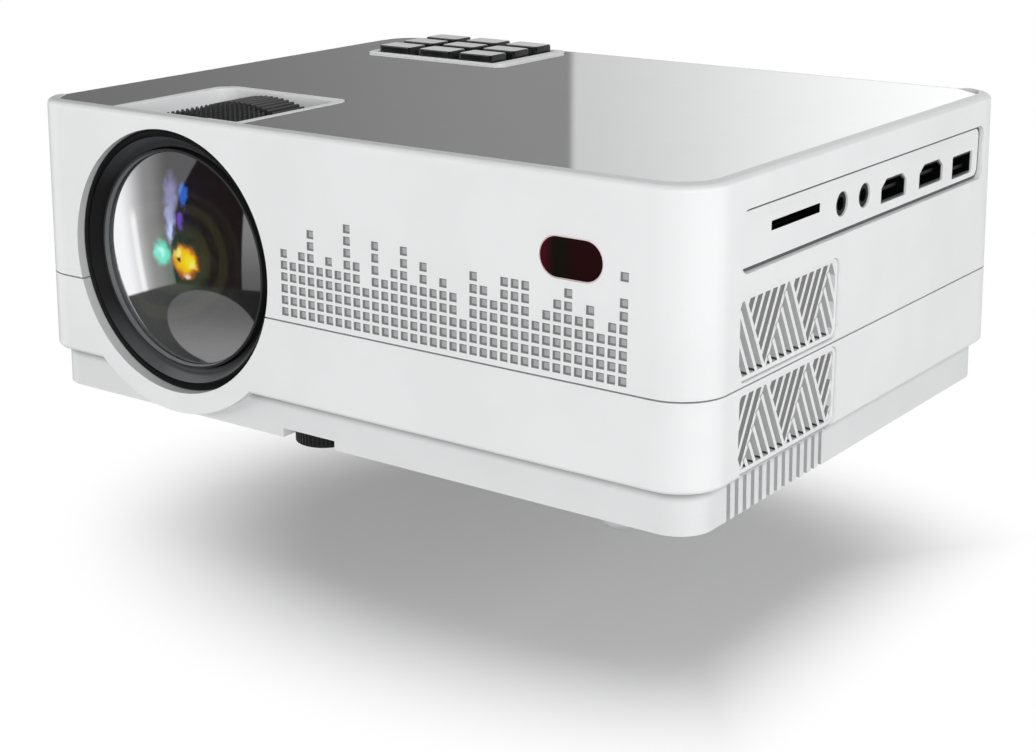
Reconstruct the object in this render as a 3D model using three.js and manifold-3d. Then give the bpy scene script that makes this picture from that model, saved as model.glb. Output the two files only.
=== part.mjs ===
import * as THREE from "three";
import { mergeVertices } from "three/addons/utils/BufferGeometryUtils.js";
import Module from "manifold-3d";

// A tabletop LED video projector in millimetres. +Z is up, the lens looks along -Y, the sockets
// are on the +X side, and the four rubber feet stand on z = 0.

const wasm = await Module();
wasm.setup();

// Case
const bodyWidth = 230;
const bodyDepth = 175.4;
const wallDraftShare = 0.0195;
const cornerRadius = 13;
const footHeight = 4;
const plinthHeight = 11.6;
const plinthInset = 3.4;
const lowerShellHeight = 23.1;
const upperShellHeight = 51.4;
const rimRounding = 1.6;
const rimWidth = 4.3;
const wallThickness = 2.2;
const floorThickness = 2.4;
const roofThickness = 3.4;
const seamGap = 0.3;
const fitGap = 0.2;
const runGap = 0.3;
const cutOverrun = 5;

// Gloss panel on the roof
const panelThickness = 1.5;
const panelDrop = 0.7;

// Lens opening and its collar
const lensFromLeft = 56.5;
const lensAxisHeight = 48.6;
const lensOpeningRadius = 37.8;
const collarWidth = 6;
const lipThickness = 1.8;
const lipDepth = 8.4;

// Black shroud behind the lens opening
const shroudSetback = 4;
const shroudDepth = 3.4;
const shroudRim = 1.4;
const shroudConeDepth = 2.6;

// Lens barrel and its glasses
const barrelRadius = 31.7;
const barrelLength = 51.7;
const barrelFrontWall = 0.8;
const barrelWall = 2.3;
const frontGlassEdge = 2;
const frontGlassBulge = 4.5;
const frontSeatDepth = 3.1;
const rearGlassRadius = 22;
const rearGlassEdge = 4.4;
const rearGlassBulge = 3;
const rearSeatDepth = 7;
const rearLipDepth = 3;
const rearLipWidth = 1.8;
const focusTravel = 2.4;

// Tube that carries the barrel, with a focus ring and a keystone ring round it
const mountWall = 2.4;
const mountFlangeThickness = 4;
const mountFlangeWidth = 85;
const mountFlangeTopDrop = 1.1;
const ringRadius = 41.3;
const focusRingWidth = 20.8;
const keystoneRingWidth = 14.1;
const focusRingSetback = 9.4;
const ringSpacing = 1;

// White tray in the roof that shows the two rings
const trayWidth = 47.6;
const trayCentreOffset = -2.4;
const trayDepth = 45;
const traySetback = 7.9;
const trayFlange = 1.5;
const trayDrop = 5.1;
const trayWall = 1.2;
const trayCornerRadius = 5;

// Keypad
const keyColumns = 3;
const keyRows = 3;
const keyWidth = 13.6;
const keyDepth = 9;
const keyPitchX = 17;
const keyPitchY = 12.7;
const keyRise = 2.8;
const keyCapHeight = 3.5;
const keyStemWidth = 9;
const keyStemDepth = 5;
const keyStemLength = 2.6;
const keyTravel = 0.8;
const keyCorner = 1.2;
const keypadFromLeft = 45.6;
const keypadFromBack = 23.5;
const bezelMargin = 3;
const bezelSideMargin = 5.3;
const bezelRise = 0.6;
const bezelWellMargin = 1.3;
const bezelFloor = 1.2;
const bezelCorner = 4;
const keypadBoardThickness = 1.6;
const switchHeight = 1.2;
const switchRadius = 2;
const bezelPostRadius = 1.2;

// Socket recess and panel on the +X side
const socketRecessLength = 140.6;
const socketRecessCentreY = 2;
const socketRecessBottom = 66.5;
const socketRecessHeight = 15.6;
const socketRecessCorner = 3;
const socketPanelSetback = 1.2;
const socketPanelThickness = 2.2;
const hdmiWidth = 15.5;
const hdmiHeight = 6.4;
const hdmiSideHeight = 4.2;
const hdmiTopWidth = 9.8;
const hdmiFirstY = 16;
const hdmiPitch = 23.7;
const hdmiBottom = 69.9;
const usbWidth = 13.7;
const usbHeight = 6.5;
const usbY = 60.8;
const usbBottom = 68.8;
const jackRadius = 3.3;
const jackBoreRadius = 1.8;
const jackHeight = 74.1;
const audioJackY = -14.6;
const avJackY = -1.8;
const cardWidth = 24.9;
const cardHeight = 2.4;
const cardY = -39.4;
const cardMiddle = 75.4;
const socketShell = 0.5;
const socketDepth = 14;
const socketSetback = 0.5;
const tongueThickness = 1;
const tongueSetback = 1.5;
const jackBodyWidth = 8;
const cardBodyMargin = 1.2;
const cardBodyDepth = 24;

// Vent windows with chevron slats
const ventLength = 51.4;
const rightVentFromFront = 44.3;
const leftVentFromBack = 46.7;
const ventMargin = 1;
const ventCorner = 3;
const ventPeriod = 22.5;
const ventSlatsPerZone = 6;
const ventSlatWidth = 1.7;
const ventFrameWidth = 1.1;
const grilleThickness = 2;
const grilleSetback = 0.4;

// Grooves in the plinth under the vents
const ribCount = 13;
const ribPitch = 4;
const ribWidth = 1.8;
const ribDepth = 0.9;

// Infrared window
const irWidth = 18.8;
const irHeight = 10.7;
const irFromRight = 36.5;
const irMiddle = 69.4;
const irSetback = 0.1;
const irThickness = 2.4;
const irReceiverWidth = 8;
const irReceiverDepth = 5;

// Feet
const footRadius = 5.8;
const footFlatShare = 0.75;
const footFromSide = 28;
const footFromEnd = 11.7;
const frontLeftFootFromFront = 27.7;
const wheelFootFromLeft = 102.6;
const wheelFootFromFront = 12.2;
const wheelRadius = 8.4;
const wheelThickness = 3.9;
const wheelDrop = 1.7;
const wheelHubRadius = 5;
const wheelHubHeight = 4;
const wheelWellCeiling = 2.6;
const wheelSlotWidth = 18.8;
const wheelSlotShift = 2.2;
const wellWall = 2;
const screwFootRadius = 2.5;
const footPadRadius = 5.5;
const footPadThickness = 0.5;
const footTravel = 12;

// Case screws and their columns
const columnFromSide = 9.5;
const columnFromEnd = 11.7;
const columnRadius = 4.2;
const counterboreRadius = 3.2;
const columnWebHeight = 19;
const screwHeadRadius = 2.7;
const screwHeadHeight = 2.2;
const screwShankRadius = 1.4;
const screwReach = 11;
const screwDriveWidth = 1.6;
const screwDriveDepth = 1;

// Light engine behind the lens
const opticsWidth = 70;
const opticsHeight = 68;
const opticsLength = 73;
const opticsWall = 2;
const opticsFootWidth = 12;
const lcdFromFront = 25;
const lcdFrameHeight = 52;
const lcdFrameThickness = 4;
const lcdFrameBorder = 5;
const lcdPanelThickness = 1.6;
const lcdWindowBorder = 2;
const pivotRadius = 2;
const fresnelFromFront = 40;
const fresnelThickness = 2;
const condenserFromFront = 50;
const condenserThickness = 2;
const condenserRadius = 28;
const condenserBulge = 10;
const lightHoleRadius = 18;
const ledPlateWidth = 50;
const ledPlateThickness = 3;
const ledChipWidth = 22;
const ledChipRise = 1.4;
const sinkWidth = 70;
const sinkHeight = 64;
const sinkBase = 5;
const sinkFinDepth = 20;
const sinkFinCount = 10;
const sinkFinThickness = 1.6;

// Fans
const fanSize = 60;
const fanThickness = 15;
const fanBoreRadius = 28.4;
const fanHubRadius = 12;
const fanBladeCount = 7;
const fanBladeThickness = 1.2;
const fanBladeGap = 1;
const fanBladeTwist = 0.6;
const fanStrutWidth = 3;
const fanStrutReach = 57.6;
const fanBasePlate = 2;
const intakeFanFromFront = 46.5;
const fanCorner = 3;

// Speaker, boards and mains inlet
const speakerX = 42;
const speakerHeight = 45;
const speakerRadius = 24;
const speakerFlange = 2;
const speakerConeDepth = 8;
const magnetRadius = 13;
const magnetDepth = 9;
const boardThickness = 1.6;
const mainBoardWidth = 50;
const mainBoardLength = 136;
const boardPostRadius = 2.5;
const mainPostInset = 7;
const chipWidth = 24;
const chipHeight = 3;
const powerBoardFromBack = 52.7;
const powerBoardWidth = 92;
const powerBoardDepth = 72;
const powerPostHeight = 5;
const powerPostInset = 6;
const transformerWidth = 26;
const transformerHeight = 20;
const capacitorRadius = 7;
const capacitorHeight = 22;
const inletFromRight = 53;
const inletMiddle = 28;
const inletWidth = 21;
const inletHeight = 12.5;
const inletSocketWidth = 16;
const inletSocketHeight = 9;
const inletSocketDepth = 12;
const inletDepth = 15;
const inletPinRadius = 1.2;
const inletPinPitch = 8.6;
const inletPinSetback = 2;

// Facets
const cornerSides = 4;
const keyCornerSides = 2;
const fineSides = 40;
const ringSides = 48;
const pinSides = 10;
const footSides = 20;
const domeSteps = 4;
const mergeTolerance = 1e-4;

// Heights and faces that the sizes above give
const plinthTop = footHeight + plinthHeight;
const seamHeight = plinthTop + lowerShellHeight;
const roofTop = seamHeight + upperShellHeight;
const floorTop = footHeight + floorThickness;
const roofUnderside = roofTop - roofThickness;
const panelTop = roofTop - panelDrop;
const panelFloor = panelTop - panelThickness - fitGap;
const frontFace = -bodyDepth / 2;
const rearFace = bodyDepth / 2;
const leftSide = -bodyWidth / 2;
const rightSide = bodyWidth / 2;
const lensAxisX = leftSide + lensFromLeft;
const keypadX = leftSide + keypadFromLeft;
const keypadY = rearFace - keypadFromBack;
const irX = rightSide - irFromRight;
const footX = rightSide - footFromSide;
const footY = rearFace - footFromEnd;
const frontLeftFootY = frontFace + frontLeftFootFromFront;
const wheelFootX = leftSide + wheelFootFromLeft;
const wheelFootY = frontFace + wheelFootFromFront;
const columnX = rightSide - columnFromSide;
const columnY = rearFace - columnFromEnd;
const inletX = rightSide - inletFromRight;
const rightVentCentreY = frontFace + rightVentFromFront;
const leftVentCentreY = rearFace - leftVentFromBack;
const intakeFanY = frontFace + intakeFanFromFront;
const powerBoardY = rearFace - powerBoardFromBack;
const lensAxis = [lensAxisX, lensAxisHeight];
const shroudFront = frontFace + shroudSetback;
const shroudBack = shroudFront + shroudDepth;
const frontGlassRim = frontFace + focusTravel + frontGlassBulge;
const frontGlassBack = frontGlassRim + frontGlassEdge;
const barrelFront = frontGlassBack + fitGap - frontSeatDepth;
const barrelBack = barrelFront + barrelLength;
const barrelBoreRadius = barrelRadius + 2 * fitGap;
const mountRadius = barrelBoreRadius + mountWall;
const focusRingFront = frontFace + focusRingSetback;
const keystoneRingFront = focusRingFront + focusRingWidth + ringSpacing;
const keystoneRingBack = keystoneRingFront + keystoneRingWidth;
const mountFlangeFront = keystoneRingBack + 2 * runGap;
const opticsFront = mountFlangeFront + mountFlangeThickness + runGap;
const opticsBack = opticsFront + opticsLength;
const lowerVentBottom = plinthTop + ventMargin / 2;
const lowerVentTop = seamHeight - ventMargin;
const upperVentBottom = seamHeight + ventMargin;
const upperVentTop = upperVentBottom + (lowerVentTop - lowerVentBottom);
const fanMiddle = floorTop + runGap + fanSize / 2;
const mainBoardBottom = fanMiddle + fanSize / 2 + 1.5 * runGap;
const mainBoardTop = mainBoardBottom + boardThickness;
const keycapTop = panelTop + keyRise;
const keycapBottom = keycapTop - keyCapHeight;
const wellFloorTop = keycapBottom - keyTravel - fitGap;
const wellFloorBottom = wellFloorTop - bezelFloor;
const stemBottom = keycapBottom - keyStemLength;
const switchTop = stemBottom - keyTravel - fitGap / 2;
const keypadBoardTop = switchTop - switchHeight;

// A closed mesh as a solid, with its faces turned outwards.
function solid(geometry) {
  const bare = geometry.clone();
  bare.deleteAttribute("normal");
  bare.deleteAttribute("uv");
  const merged = mergeVertices(bare, mergeTolerance);
  const build = (triVerts) =>
    new wasm.Manifold(
      new wasm.Mesh({ numProp: 3, vertProperties: merged.attributes.position.array, triVerts }),
    );
  const triVerts = new Uint32Array(merged.index.array);
  const made = build(triVerts);
  if (made.volume() > 0) return made;
  for (let i = 0; i < triVerts.length; i += 3) {
    [triVerts[i + 1], triVerts[i + 2]] = [triVerts[i + 2], triVerts[i + 1]];
  }
  return build(triVerts);
}

// A solid as geometry that a mesh can hold.
function geometryOf(made) {
  const mesh = made.getMesh();
  const stride = mesh.numProp;
  const positions = new Float32Array(mesh.numVert * 3);
  for (let i = 0; i < mesh.numVert; i++) {
    positions.set(mesh.vertProperties.subarray(i * stride, i * stride + 3), i * 3);
  }
  const geometry = new THREE.BufferGeometry();
  geometry.setAttribute("position", new THREE.BufferAttribute(positions, 3));
  geometry.setIndex(new THREE.BufferAttribute(new Uint32Array(mesh.triVerts), 1));
  geometry.computeVertexNormals();
  return geometry;
}

const union = (pieces) => pieces.reduce((whole, piece) => whole.add(piece));
const cut = (whole, pieces) => pieces.reduce((left, piece) => left.subtract(piece), whole);
const around = (middle, size) => [middle - size / 2, middle + size / 2];

// A block between two values on each axis.
function block([x0, x1], [y0, y1], [z0, z1]) {
  const geometry = new THREE.BoxGeometry(x1 - x0, y1 - y0, z1 - z0);
  geometry.translate((x0 + x1) / 2, (y0 + y1) / 2, (z0 + z1) / 2);
  return solid(geometry);
}

// Round bars along each axis, placed by the two values across the axis.
function barAlongX(radius, [x0, x1], [y, z], sides = pinSides) {
  const geometry = new THREE.CylinderGeometry(radius, radius, x1 - x0, sides);
  geometry.rotateZ(Math.PI / 2);
  geometry.translate((x0 + x1) / 2, y, z);
  return solid(geometry);
}

function barAlongY(radius, [y0, y1], [x, z], sides = pinSides) {
  const geometry = new THREE.CylinderGeometry(radius, radius, y1 - y0, sides);
  geometry.translate(x, (y0 + y1) / 2, z);
  return solid(geometry);
}

function barAlongZ(radius, [z0, z1], [x, y], sides = pinSides) {
  const geometry = new THREE.CylinderGeometry(radius, radius, z1 - z0, sides);
  geometry.rotateX(Math.PI / 2);
  geometry.translate(x, y, (z0 + z1) / 2);
  return solid(geometry);
}

// A profile of [radius, y] pairs turned about an axis along Y.
function turnedAlongY(profile, [x, z], sides = fineSides) {
  const points = profile.map(([radius, y]) => new THREE.Vector2(radius, y));
  const geometry = new THREE.LatheGeometry(points, sides);
  geometry.translate(x, 0, z);
  return solid(geometry);
}

// A plain ring about an axis along Y.
function tubeAlongY(inner, outer, [y0, y1], axis, sides = fineSides) {
  const bore = barAlongY(inner, [y0 - cutOverrun, y1 + cutOverrun], axis, sides);
  return barAlongY(outer, [y0, y1], axis, sides).subtract(bore);
}

// A rectangle with round corners.
function roundedOutline([u0, u1], [v0, v1], radius) {
  const quarter = Math.PI / 2;
  const shape = new THREE.Shape();
  shape.absarc(u1 - radius, v0 + radius, radius, -quarter, 0);
  shape.absarc(u1 - radius, v1 - radius, radius, 0, quarter);
  shape.absarc(u0 + radius, v1 - radius, radius, quarter, 2 * quarter);
  shape.absarc(u0 + radius, v0 + radius, radius, 2 * quarter, 3 * quarter);
  shape.closePath();
  return shape;
}

function polygonOutline(corners) {
  return new THREE.Shape(corners.map(([u, v]) => new THREE.Vector2(u, v)));
}

// Outlines extruded along an axis: (y, z) along X, (x, z) along Y and (x, y) along Z.
function extruded(shape, depth, curveSegments = cornerSides) {
  return new THREE.ExtrudeGeometry(shape, { depth, bevelEnabled: false, curveSegments });
}

function plateAlongX(shape, [x0, x1]) {
  const geometry = extruded(shape, x1 - x0);
  geometry.rotateX(Math.PI / 2);
  geometry.rotateZ(Math.PI / 2);
  geometry.translate(x0, 0, 0);
  return solid(geometry);
}

function plateAlongY(shape, [y0, y1]) {
  const geometry = extruded(shape, y1 - y0);
  geometry.rotateX(Math.PI / 2);
  geometry.translate(0, y1, 0);
  return solid(geometry);
}

function plateAlongZ(shape, [z0, z1], sides = cornerSides) {
  const geometry = extruded(shape, z1 - z0, sides);
  geometry.translate(0, 0, z0);
  return solid(geometry);
}

// A solid through a stack of rounded rectangles, each with its height, half sizes and corner radius.
function lofted(rings) {
  const perRing = 4 * (cornerSides + 1);
  const positions = [];
  for (const { z, halfX, halfY, radius } of rings) {
    for (let corner = 0; corner < 4; corner++) {
      const turn = (corner * Math.PI) / 2;
      const signX = corner === 0 || corner === 3 ? 1 : -1;
      const signY = corner < 2 ? 1 : -1;
      for (let step = 0; step <= cornerSides; step++) {
        const angle = turn + (step / cornerSides) * (Math.PI / 2);
        const x = signX * (halfX - radius) + radius * Math.cos(angle);
        const y = signY * (halfY - radius) + radius * Math.sin(angle);
        positions.push(x, y, z);
      }
    }
  }
  const index = [];
  for (let ring = 0; ring + 1 < rings.length; ring++) {
    for (let i = 0; i < perRing; i++) {
      const next = (i + 1) % perRing;
      const [a, b] = [ring * perRing + i, ring * perRing + next];
      index.push(a, b, b + perRing, a, b + perRing, a + perRing);
    }
  }
  const last = (rings.length - 1) * perRing;
  for (let i = 1; i + 1 < perRing; i++) {
    index.push(0, i + 1, i);
    index.push(last, last + i, last + i + 1);
  }
  const geometry = new THREE.BufferGeometry();
  geometry.setAttribute("position", new THREE.BufferAttribute(new Float32Array(positions), 3));
  geometry.setIndex(index);
  return solid(geometry);
}

// The outer section of the case at a height, taken in by an inset. The walls lean in towards the top.
function section(z, inset = 0) {
  const lean = wallDraftShare * (z - seamHeight) + inset;
  return { z, halfX: bodyWidth / 2 - lean, halfY: bodyDepth / 2 - lean, radius: cornerRadius - inset };
}

const sideFaceAt = (z) => section(z).halfX;

// Half of the rounded top edge, as sections of the case.
function roundedTop(inset = 0) {
  const rings = [];
  for (let step = 0; step <= cornerSides; step++) {
    const angle = (step / cornerSides) * (Math.PI / 2);
    const drop = rimRounding * (1 - Math.sin(angle));
    const take = rimRounding * (1 - Math.cos(angle));
    rings.push(section(roofTop - drop, inset + take));
  }
  return rings;
}

// The whole outer form above the plinth, used to trim what is added to the walls.
const caseForm = () => lofted([section(plinthTop), section(seamHeight), ...roundedTop()]);

function lensLip() {
  const reach = [frontFace - cutOverrun, frontFace + lipDepth];
  return tubeAlongY(lensOpeningRadius, lensOpeningRadius + lipThickness, reach, lensAxis, ringSides);
}

function lensOpening() {
  const reach = [frontFace - cutOverrun, frontFace + lipDepth + cutOverrun];
  return barAlongY(lensOpeningRadius, reach, lensAxis, ringSides);
}

function halfSpace(z0, z1) {
  return block([-bodyWidth, bodyWidth], [-bodyDepth, bodyDepth], [z0, z1]);
}

const columnPlaces = [
  ["front_left", -columnX, -columnY],
  ["front_right", columnX, -columnY],
  ["rear_left", -columnX, columnY],
  ["rear_right", columnX, columnY],
];

// Vent windows: one pair on each side.
const vents = [
  { name: "right_upper", side: 1, middle: rightVentCentreY, bottom: upperVentBottom, top: upperVentTop },
  { name: "right_lower", side: 1, middle: rightVentCentreY, bottom: lowerVentBottom, top: lowerVentTop },
  { name: "left_upper", side: -1, middle: leftVentCentreY, bottom: upperVentBottom, top: upperVentTop },
  { name: "left_lower", side: -1, middle: leftVentCentreY, bottom: lowerVentBottom, top: lowerVentTop },
];

function ventOutline({ middle, bottom, top }, inset = 0) {
  const [y0, y1] = around(middle, ventLength - 2 * inset);
  return roundedOutline([y0, y1], [bottom + inset, top - inset], ventCorner - inset);
}

function ventWindow(vent) {
  const inside = bodyWidth / 2 - wallThickness - plinthInset - cutOverrun;
  const outside = bodyWidth / 2 + cutOverrun;
  const span = vent.side > 0 ? [inside, outside] : [-outside, -inside];
  return plateAlongX(ventOutline(vent), span);
}

// Socket recess
function socketOutline(inset = 0) {
  const span = around(socketRecessCentreY, socketRecessLength - 2 * inset);
  const heights = [socketRecessBottom + inset, socketRecessBottom + socketRecessHeight - inset];
  return roundedOutline(span, heights, socketRecessCorner - inset);
}

function socketWindow() {
  const inside = bodyWidth / 2 - wallThickness - cutOverrun;
  return plateAlongX(socketOutline(), [inside, bodyWidth / 2 + cutOverrun]);
}

// Openings in the roof for the ring tray and the keypad
const trayMiddleX = lensAxisX + trayCentreOffset;
const trayFront = frontFace + traySetback;
const trayFlangeFront = -section(roofTop).halfY + rimWidth + fitGap;
const trayBack = trayFront + trayDepth;
const traySpanX = around(trayMiddleX, trayWidth);
const trayPocket = {
  x: around(trayMiddleX, trayWidth + 2 * trayFlange),
  y: [trayFlangeFront - trayCornerRadius, trayBack + trayFlange],
};
const keypadWidth = (keyColumns - 1) * keyPitchX + keyWidth;
const keypadDepth = (keyRows - 1) * keyPitchY + keyDepth;
const bezelWidth = keypadWidth + 2 * bezelSideMargin;
const bezelDepth = keypadDepth + 2 * bezelMargin;
const bezelSpanX = around(keypadX, bezelWidth);
const bezelSpanY = around(keypadY, bezelDepth);
const wellSpanX = around(keypadX, keypadWidth + 2 * bezelWellMargin);
const wellSpanY = around(keypadY, keypadDepth + bezelWellMargin);

const grown = ([from, to], by) => [from - by, to + by];

function trayOutline(inset = 0) {
  const { x, y } = trayPocket;
  return roundedOutline(grown(x, -inset), grown(y, -inset), trayCornerRadius);
}

function bezelOutline(inset = 0) {
  return roundedOutline(grown(bezelSpanX, -inset), grown(bezelSpanY, -inset), bezelCorner);
}

function topShell() {
  const outer = lofted([section(seamHeight + seamGap), ...roundedTop()]);
  const inner = lofted([
    section(seamHeight - cutOverrun, wallThickness),
    section(roofUnderside, wallThickness),
  ]);
  const rim = section(roofTop, rimWidth);
  const pocket = lofted([panelFloor, roofTop + cutOverrun].map((z) => ({ ...rim, z })));
  const roofReach = [roofUnderside - cutOverrun, roofTop + cutOverrun];
  const trayHole = block(grown(traySpanX, fitGap), [trayFront, trayBack + fitGap], roofReach);
  const wellHole = block(
    grown(wellSpanX, trayWall + fitGap),
    grown(wellSpanY, trayWall + fitGap),
    roofReach,
  );
  const bezelPocket = plateAlongZ(bezelOutline(), [panelFloor, roofTop + cutOverrun]);
  const irHole = plateAlongY(irOutline(), [frontFace - cutOverrun, frontFace + cutOverrun]);
  const shell = cut(outer, [inner]).add(
    lensLip()
      .intersect(caseForm())
      .intersect(halfSpace(seamHeight + seamGap, roofTop - rimRounding)),
  );
  const columns = columnPlaces.map(([, x, y]) =>
    barAlongZ(columnRadius - fitGap, [seamHeight + seamGap, roofUnderside + fitGap], [x, y]),
  );
  const posts = mainPostPlaces().map((place) =>
    barAlongZ(boardPostRadius, [mainBoardTop + runGap, roofUnderside + fitGap], place),
  );
  const bores = columnPlaces.map(([, x, y]) =>
    barAlongZ(screwShankRadius + runGap, [seamHeight, seamHeight + screwReach + runGap], [x, y]),
  );
  const windows = vents.filter(({ bottom }) => bottom > seamHeight).map(ventWindow);
  return cut(union([shell, ...columns, ...posts]), [
    pocket,
    trayHole,
    wellHole,
    bezelPocket,
    lensOpening(),
    irHole,
    socketWindow(),
    ...windows,
    ...bores,
  ]);
}

// The plinth keeps the same inset from the wall above it.
const plinthSection = (z, inset = 0) => section(z, plinthInset + inset);

function plinthGrooves() {
  const places = Array.from({ length: ribCount }, (_, i) => (i - (ribCount - 1) / 2) * ribPitch);
  const reach = [footHeight - cutOverrun, plinthTop];
  return [
    [1, rightVentCentreY],
    [-1, leftVentCentreY],
  ].flatMap(([side, middle]) =>
    places.map((offset) => {
      const wall = plinthSection(plinthTop).halfX;
      const span = side > 0 ? [wall - ribDepth, wall + cutOverrun] : [-wall - cutOverrun, -wall + ribDepth];
      return block(span, around(middle + offset, ribWidth), reach);
    }),
  );
}

function lensCollar() {
  const radius = lensOpeningRadius + collarWidth;
  const reach = [frontFace - cutOverrun, frontFace + plinthInset + wallThickness];
  const foot = { ...section(plinthTop), z: footHeight };
  const form = lofted([foot, section(plinthTop), section(seamHeight - seamGap / 2)]);
  return barAlongY(radius, reach, lensAxis, ringSides)
    .intersect(form)
    .intersect(halfSpace(footHeight, seamHeight - seamGap / 2));
}

function wheelWell() {
  const wall = wheelRadius + runGap + wellWall;
  const front = -plinthSection(footHeight).halfY + wellWall;
  const top = footHeight + wheelWellCeiling + wellWall + wheelHubHeight;
  return block(around(wheelFootX, 2 * wall), [front, wheelFootY + wall], [footHeight, top]);
}

function wheelWellCuts() {
  const front = -plinthSection(footHeight).halfY;
  const below = footHeight - cutOverrun;
  const ceiling = footHeight + wheelWellCeiling;
  const slotSpan = around(wheelFootX + wheelSlotShift, wheelSlotWidth);
  const slot = block(slotSpan, [front - cutOverrun, wheelFootY], [below, ceiling]);
  const place = [wheelFootX, wheelFootY];
  const round = barAlongZ(wheelRadius + runGap, [below, ceiling], place, footSides);
  const hub = barAlongZ(
    wheelHubRadius + runGap,
    [below, ceiling + wheelHubHeight + runGap],
    place,
    footSides,
  );
  const stem = barAlongZ(screwFootRadius + runGap, [below, seamHeight], place);
  return [slot, round, hub, stem];
}

const plinthInnerSide = plinthSection(floorTop, wallThickness).halfX;
const powerBoardX = (lensAxisX + opticsWidth / 2 + plinthInnerSide) / 2;

function powerPostPlaces() {
  const offsetX = powerBoardWidth / 2 - powerPostInset;
  const offsetY = powerBoardDepth / 2 - powerPostInset;
  return [-1, 1].flatMap((i) => [-1, 1].map((j) => [powerBoardX + i * offsetX, powerBoardY + j * offsetY]));
}

function bottomShell() {
  const top = seamHeight - seamGap / 2;
  const outer = lofted([section(plinthTop), section(top)]);
  const plinth = lofted([plinthSection(footHeight), plinthSection(plinthTop + fitGap)]);
  const upperCavity = lofted([
    section(plinthTop + wallThickness, wallThickness),
    section(seamHeight + cutOverrun, wallThickness),
  ]);
  const lowerCavity = lofted([
    plinthSection(floorTop, wallThickness),
    plinthSection(plinthTop + cutOverrun, wallThickness),
  ]);
  const lip = lensLip().intersect(lofted([section(footHeight), section(top)]));
  const columns = columnPlaces.map(([, x, y]) =>
    barAlongZ(columnRadius, [footHeight, seamHeight - seamGap / 2], [x, y]),
  );
  const posts = powerPostPlaces().map((place) =>
    barAlongZ(boardPostRadius, [footHeight, floorTop + powerPostHeight], place),
  );
  const bores = columnPlaces.flatMap(([, x, y]) => [
    barAlongZ(counterboreRadius, [footHeight - cutOverrun, columnWebHeight], [x, y]),
    barAlongZ(screwShankRadius + runGap, [footHeight, seamHeight + cutOverrun], [x, y]),
  ]);
  const shell = cut(union([outer, plinth]), [upperCavity, lowerCavity]);
  const backReach = grown([-frontFace - wallThickness, -frontFace], cutOverrun);
  const inletHole = plateAlongY(inletOutline(), backReach);
  const windows = vents.filter(({ top: high }) => high < seamHeight).map(ventWindow);
  return cut(union([shell, lensCollar(), lip, wheelWell(), ...columns, ...posts]), [
    lensOpening(),
    inletHole,
    ...windows,
    ...plinthGrooves(),
    ...wheelWellCuts(),
    ...bores,
  ]);
}

function topPanel() {
  const edge = section(roofTop, rimWidth + fitGap);
  const sheet = lofted([panelFloor + fitGap / 2, panelTop].map((z) => ({ ...edge, z })));
  const reach = [panelFloor - cutOverrun, roofTop + cutOverrun];
  return cut(sheet, [
    plateAlongZ(trayOutline(-fitGap), reach),
    plateAlongZ(bezelOutline(-fitGap), reach),
    block(grown(bezelSpanX, fitGap), [keypadY, -frontFace], reach),
  ]);
}

function ringTray() {
  const floorHeight = roofTop - trayDrop;
  const wellBottom = floorHeight - trayWall;
  const flangeArea = [[trayFlangeFront, -frontFace], [panelFloor - cutOverrun, roofTop]];
  const flange = plateAlongZ(trayOutline(fitGap), [panelFloor + fitGap / 2, panelTop]).intersect(
    block([-bodyWidth, bodyWidth], ...flangeArea),
  );
  const well = block(traySpanX, [trayFront + fitGap, trayBack], [wellBottom, panelTop]);
  const hollow = block(grown(traySpanX, -trayWall), grown([trayFront + fitGap, trayBack], -trayWall), [
    floorHeight,
    roofTop,
  ]);
  const sweep = barAlongY(
    ringRadius + 2 * runGap,
    [focusRingFront - 2 * runGap, keystoneRingBack + 2 * runGap],
    lensAxis,
    ringSides,
  );
  return cut(union([flange, well]), [hollow, sweep]);
}

function keypadBezel() {
  const top = panelTop + bezelRise;
  const plate = plateAlongZ(bezelOutline(fitGap), [panelFloor + fitGap / 2, top]);
  const well = block(grown(wellSpanX, trayWall), grown(wellSpanY, trayWall), [wellFloorBottom, top]);
  const hollow = block(wellSpanX, wellSpanY, [wellFloorTop, top + cutOverrun]);
  const stemHoles = keyPlaces().map(({ x, y }) =>
    block(around(x, keyStemWidth + 2 * fitGap), around(y, keyStemDepth + 2 * fitGap), [
      wellFloorBottom - cutOverrun,
      top,
    ]),
  );
  const posts = [-1, 1].flatMap((i) =>
    [-1, 1].map((j) =>
      barAlongZ(
        bezelPostRadius,
        [keypadBoardTop + runGap, wellFloorTop],
        [
          keypadX + i * (keypadWidth / 2 - bezelPostRadius),
          keypadY + j * (keypadDepth / 2 - bezelPostRadius),
        ],
      ),
    ),
  );
  return cut(union([plate, well]), [hollow]).subtract(union(stemHoles)).add(union(posts));
}

function keyPlaces() {
  const places = [];
  for (let row = 0; row < keyRows; row++) {
    for (let column = 0; column < keyColumns; column++) {
      places.push({
        name: `key_${row * keyColumns + column + 1}`,
        x: keypadX + (column - (keyColumns - 1) / 2) * keyPitchX,
        y: keypadY + (row - (keyRows - 1) / 2) * keyPitchY,
      });
    }
  }
  return places;
}

// One key, with the middle of its cap's underside at the origin.
function key() {
  const outline = roundedOutline(around(0, keyWidth), around(0, keyDepth), keyCorner);
  const cap = plateAlongZ(outline, [0, keyCapHeight], keyCornerSides);
  const stem = block(around(0, keyStemWidth), around(0, keyStemDepth), [-keyStemLength, keyCorner]);
  return cap.add(stem);
}

function keypadBoard() {
  const board = block(around(keypadX, keypadWidth), around(keypadY, keypadDepth), [
    keypadBoardTop - keypadBoardThickness,
    keypadBoardTop,
  ]);
  const switches = keyPlaces().map(({ x, y }) =>
    barAlongZ(switchRadius, [keypadBoardTop - fitGap, switchTop], [x, y]),
  );
  return union([board, ...switches]);
}

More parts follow.
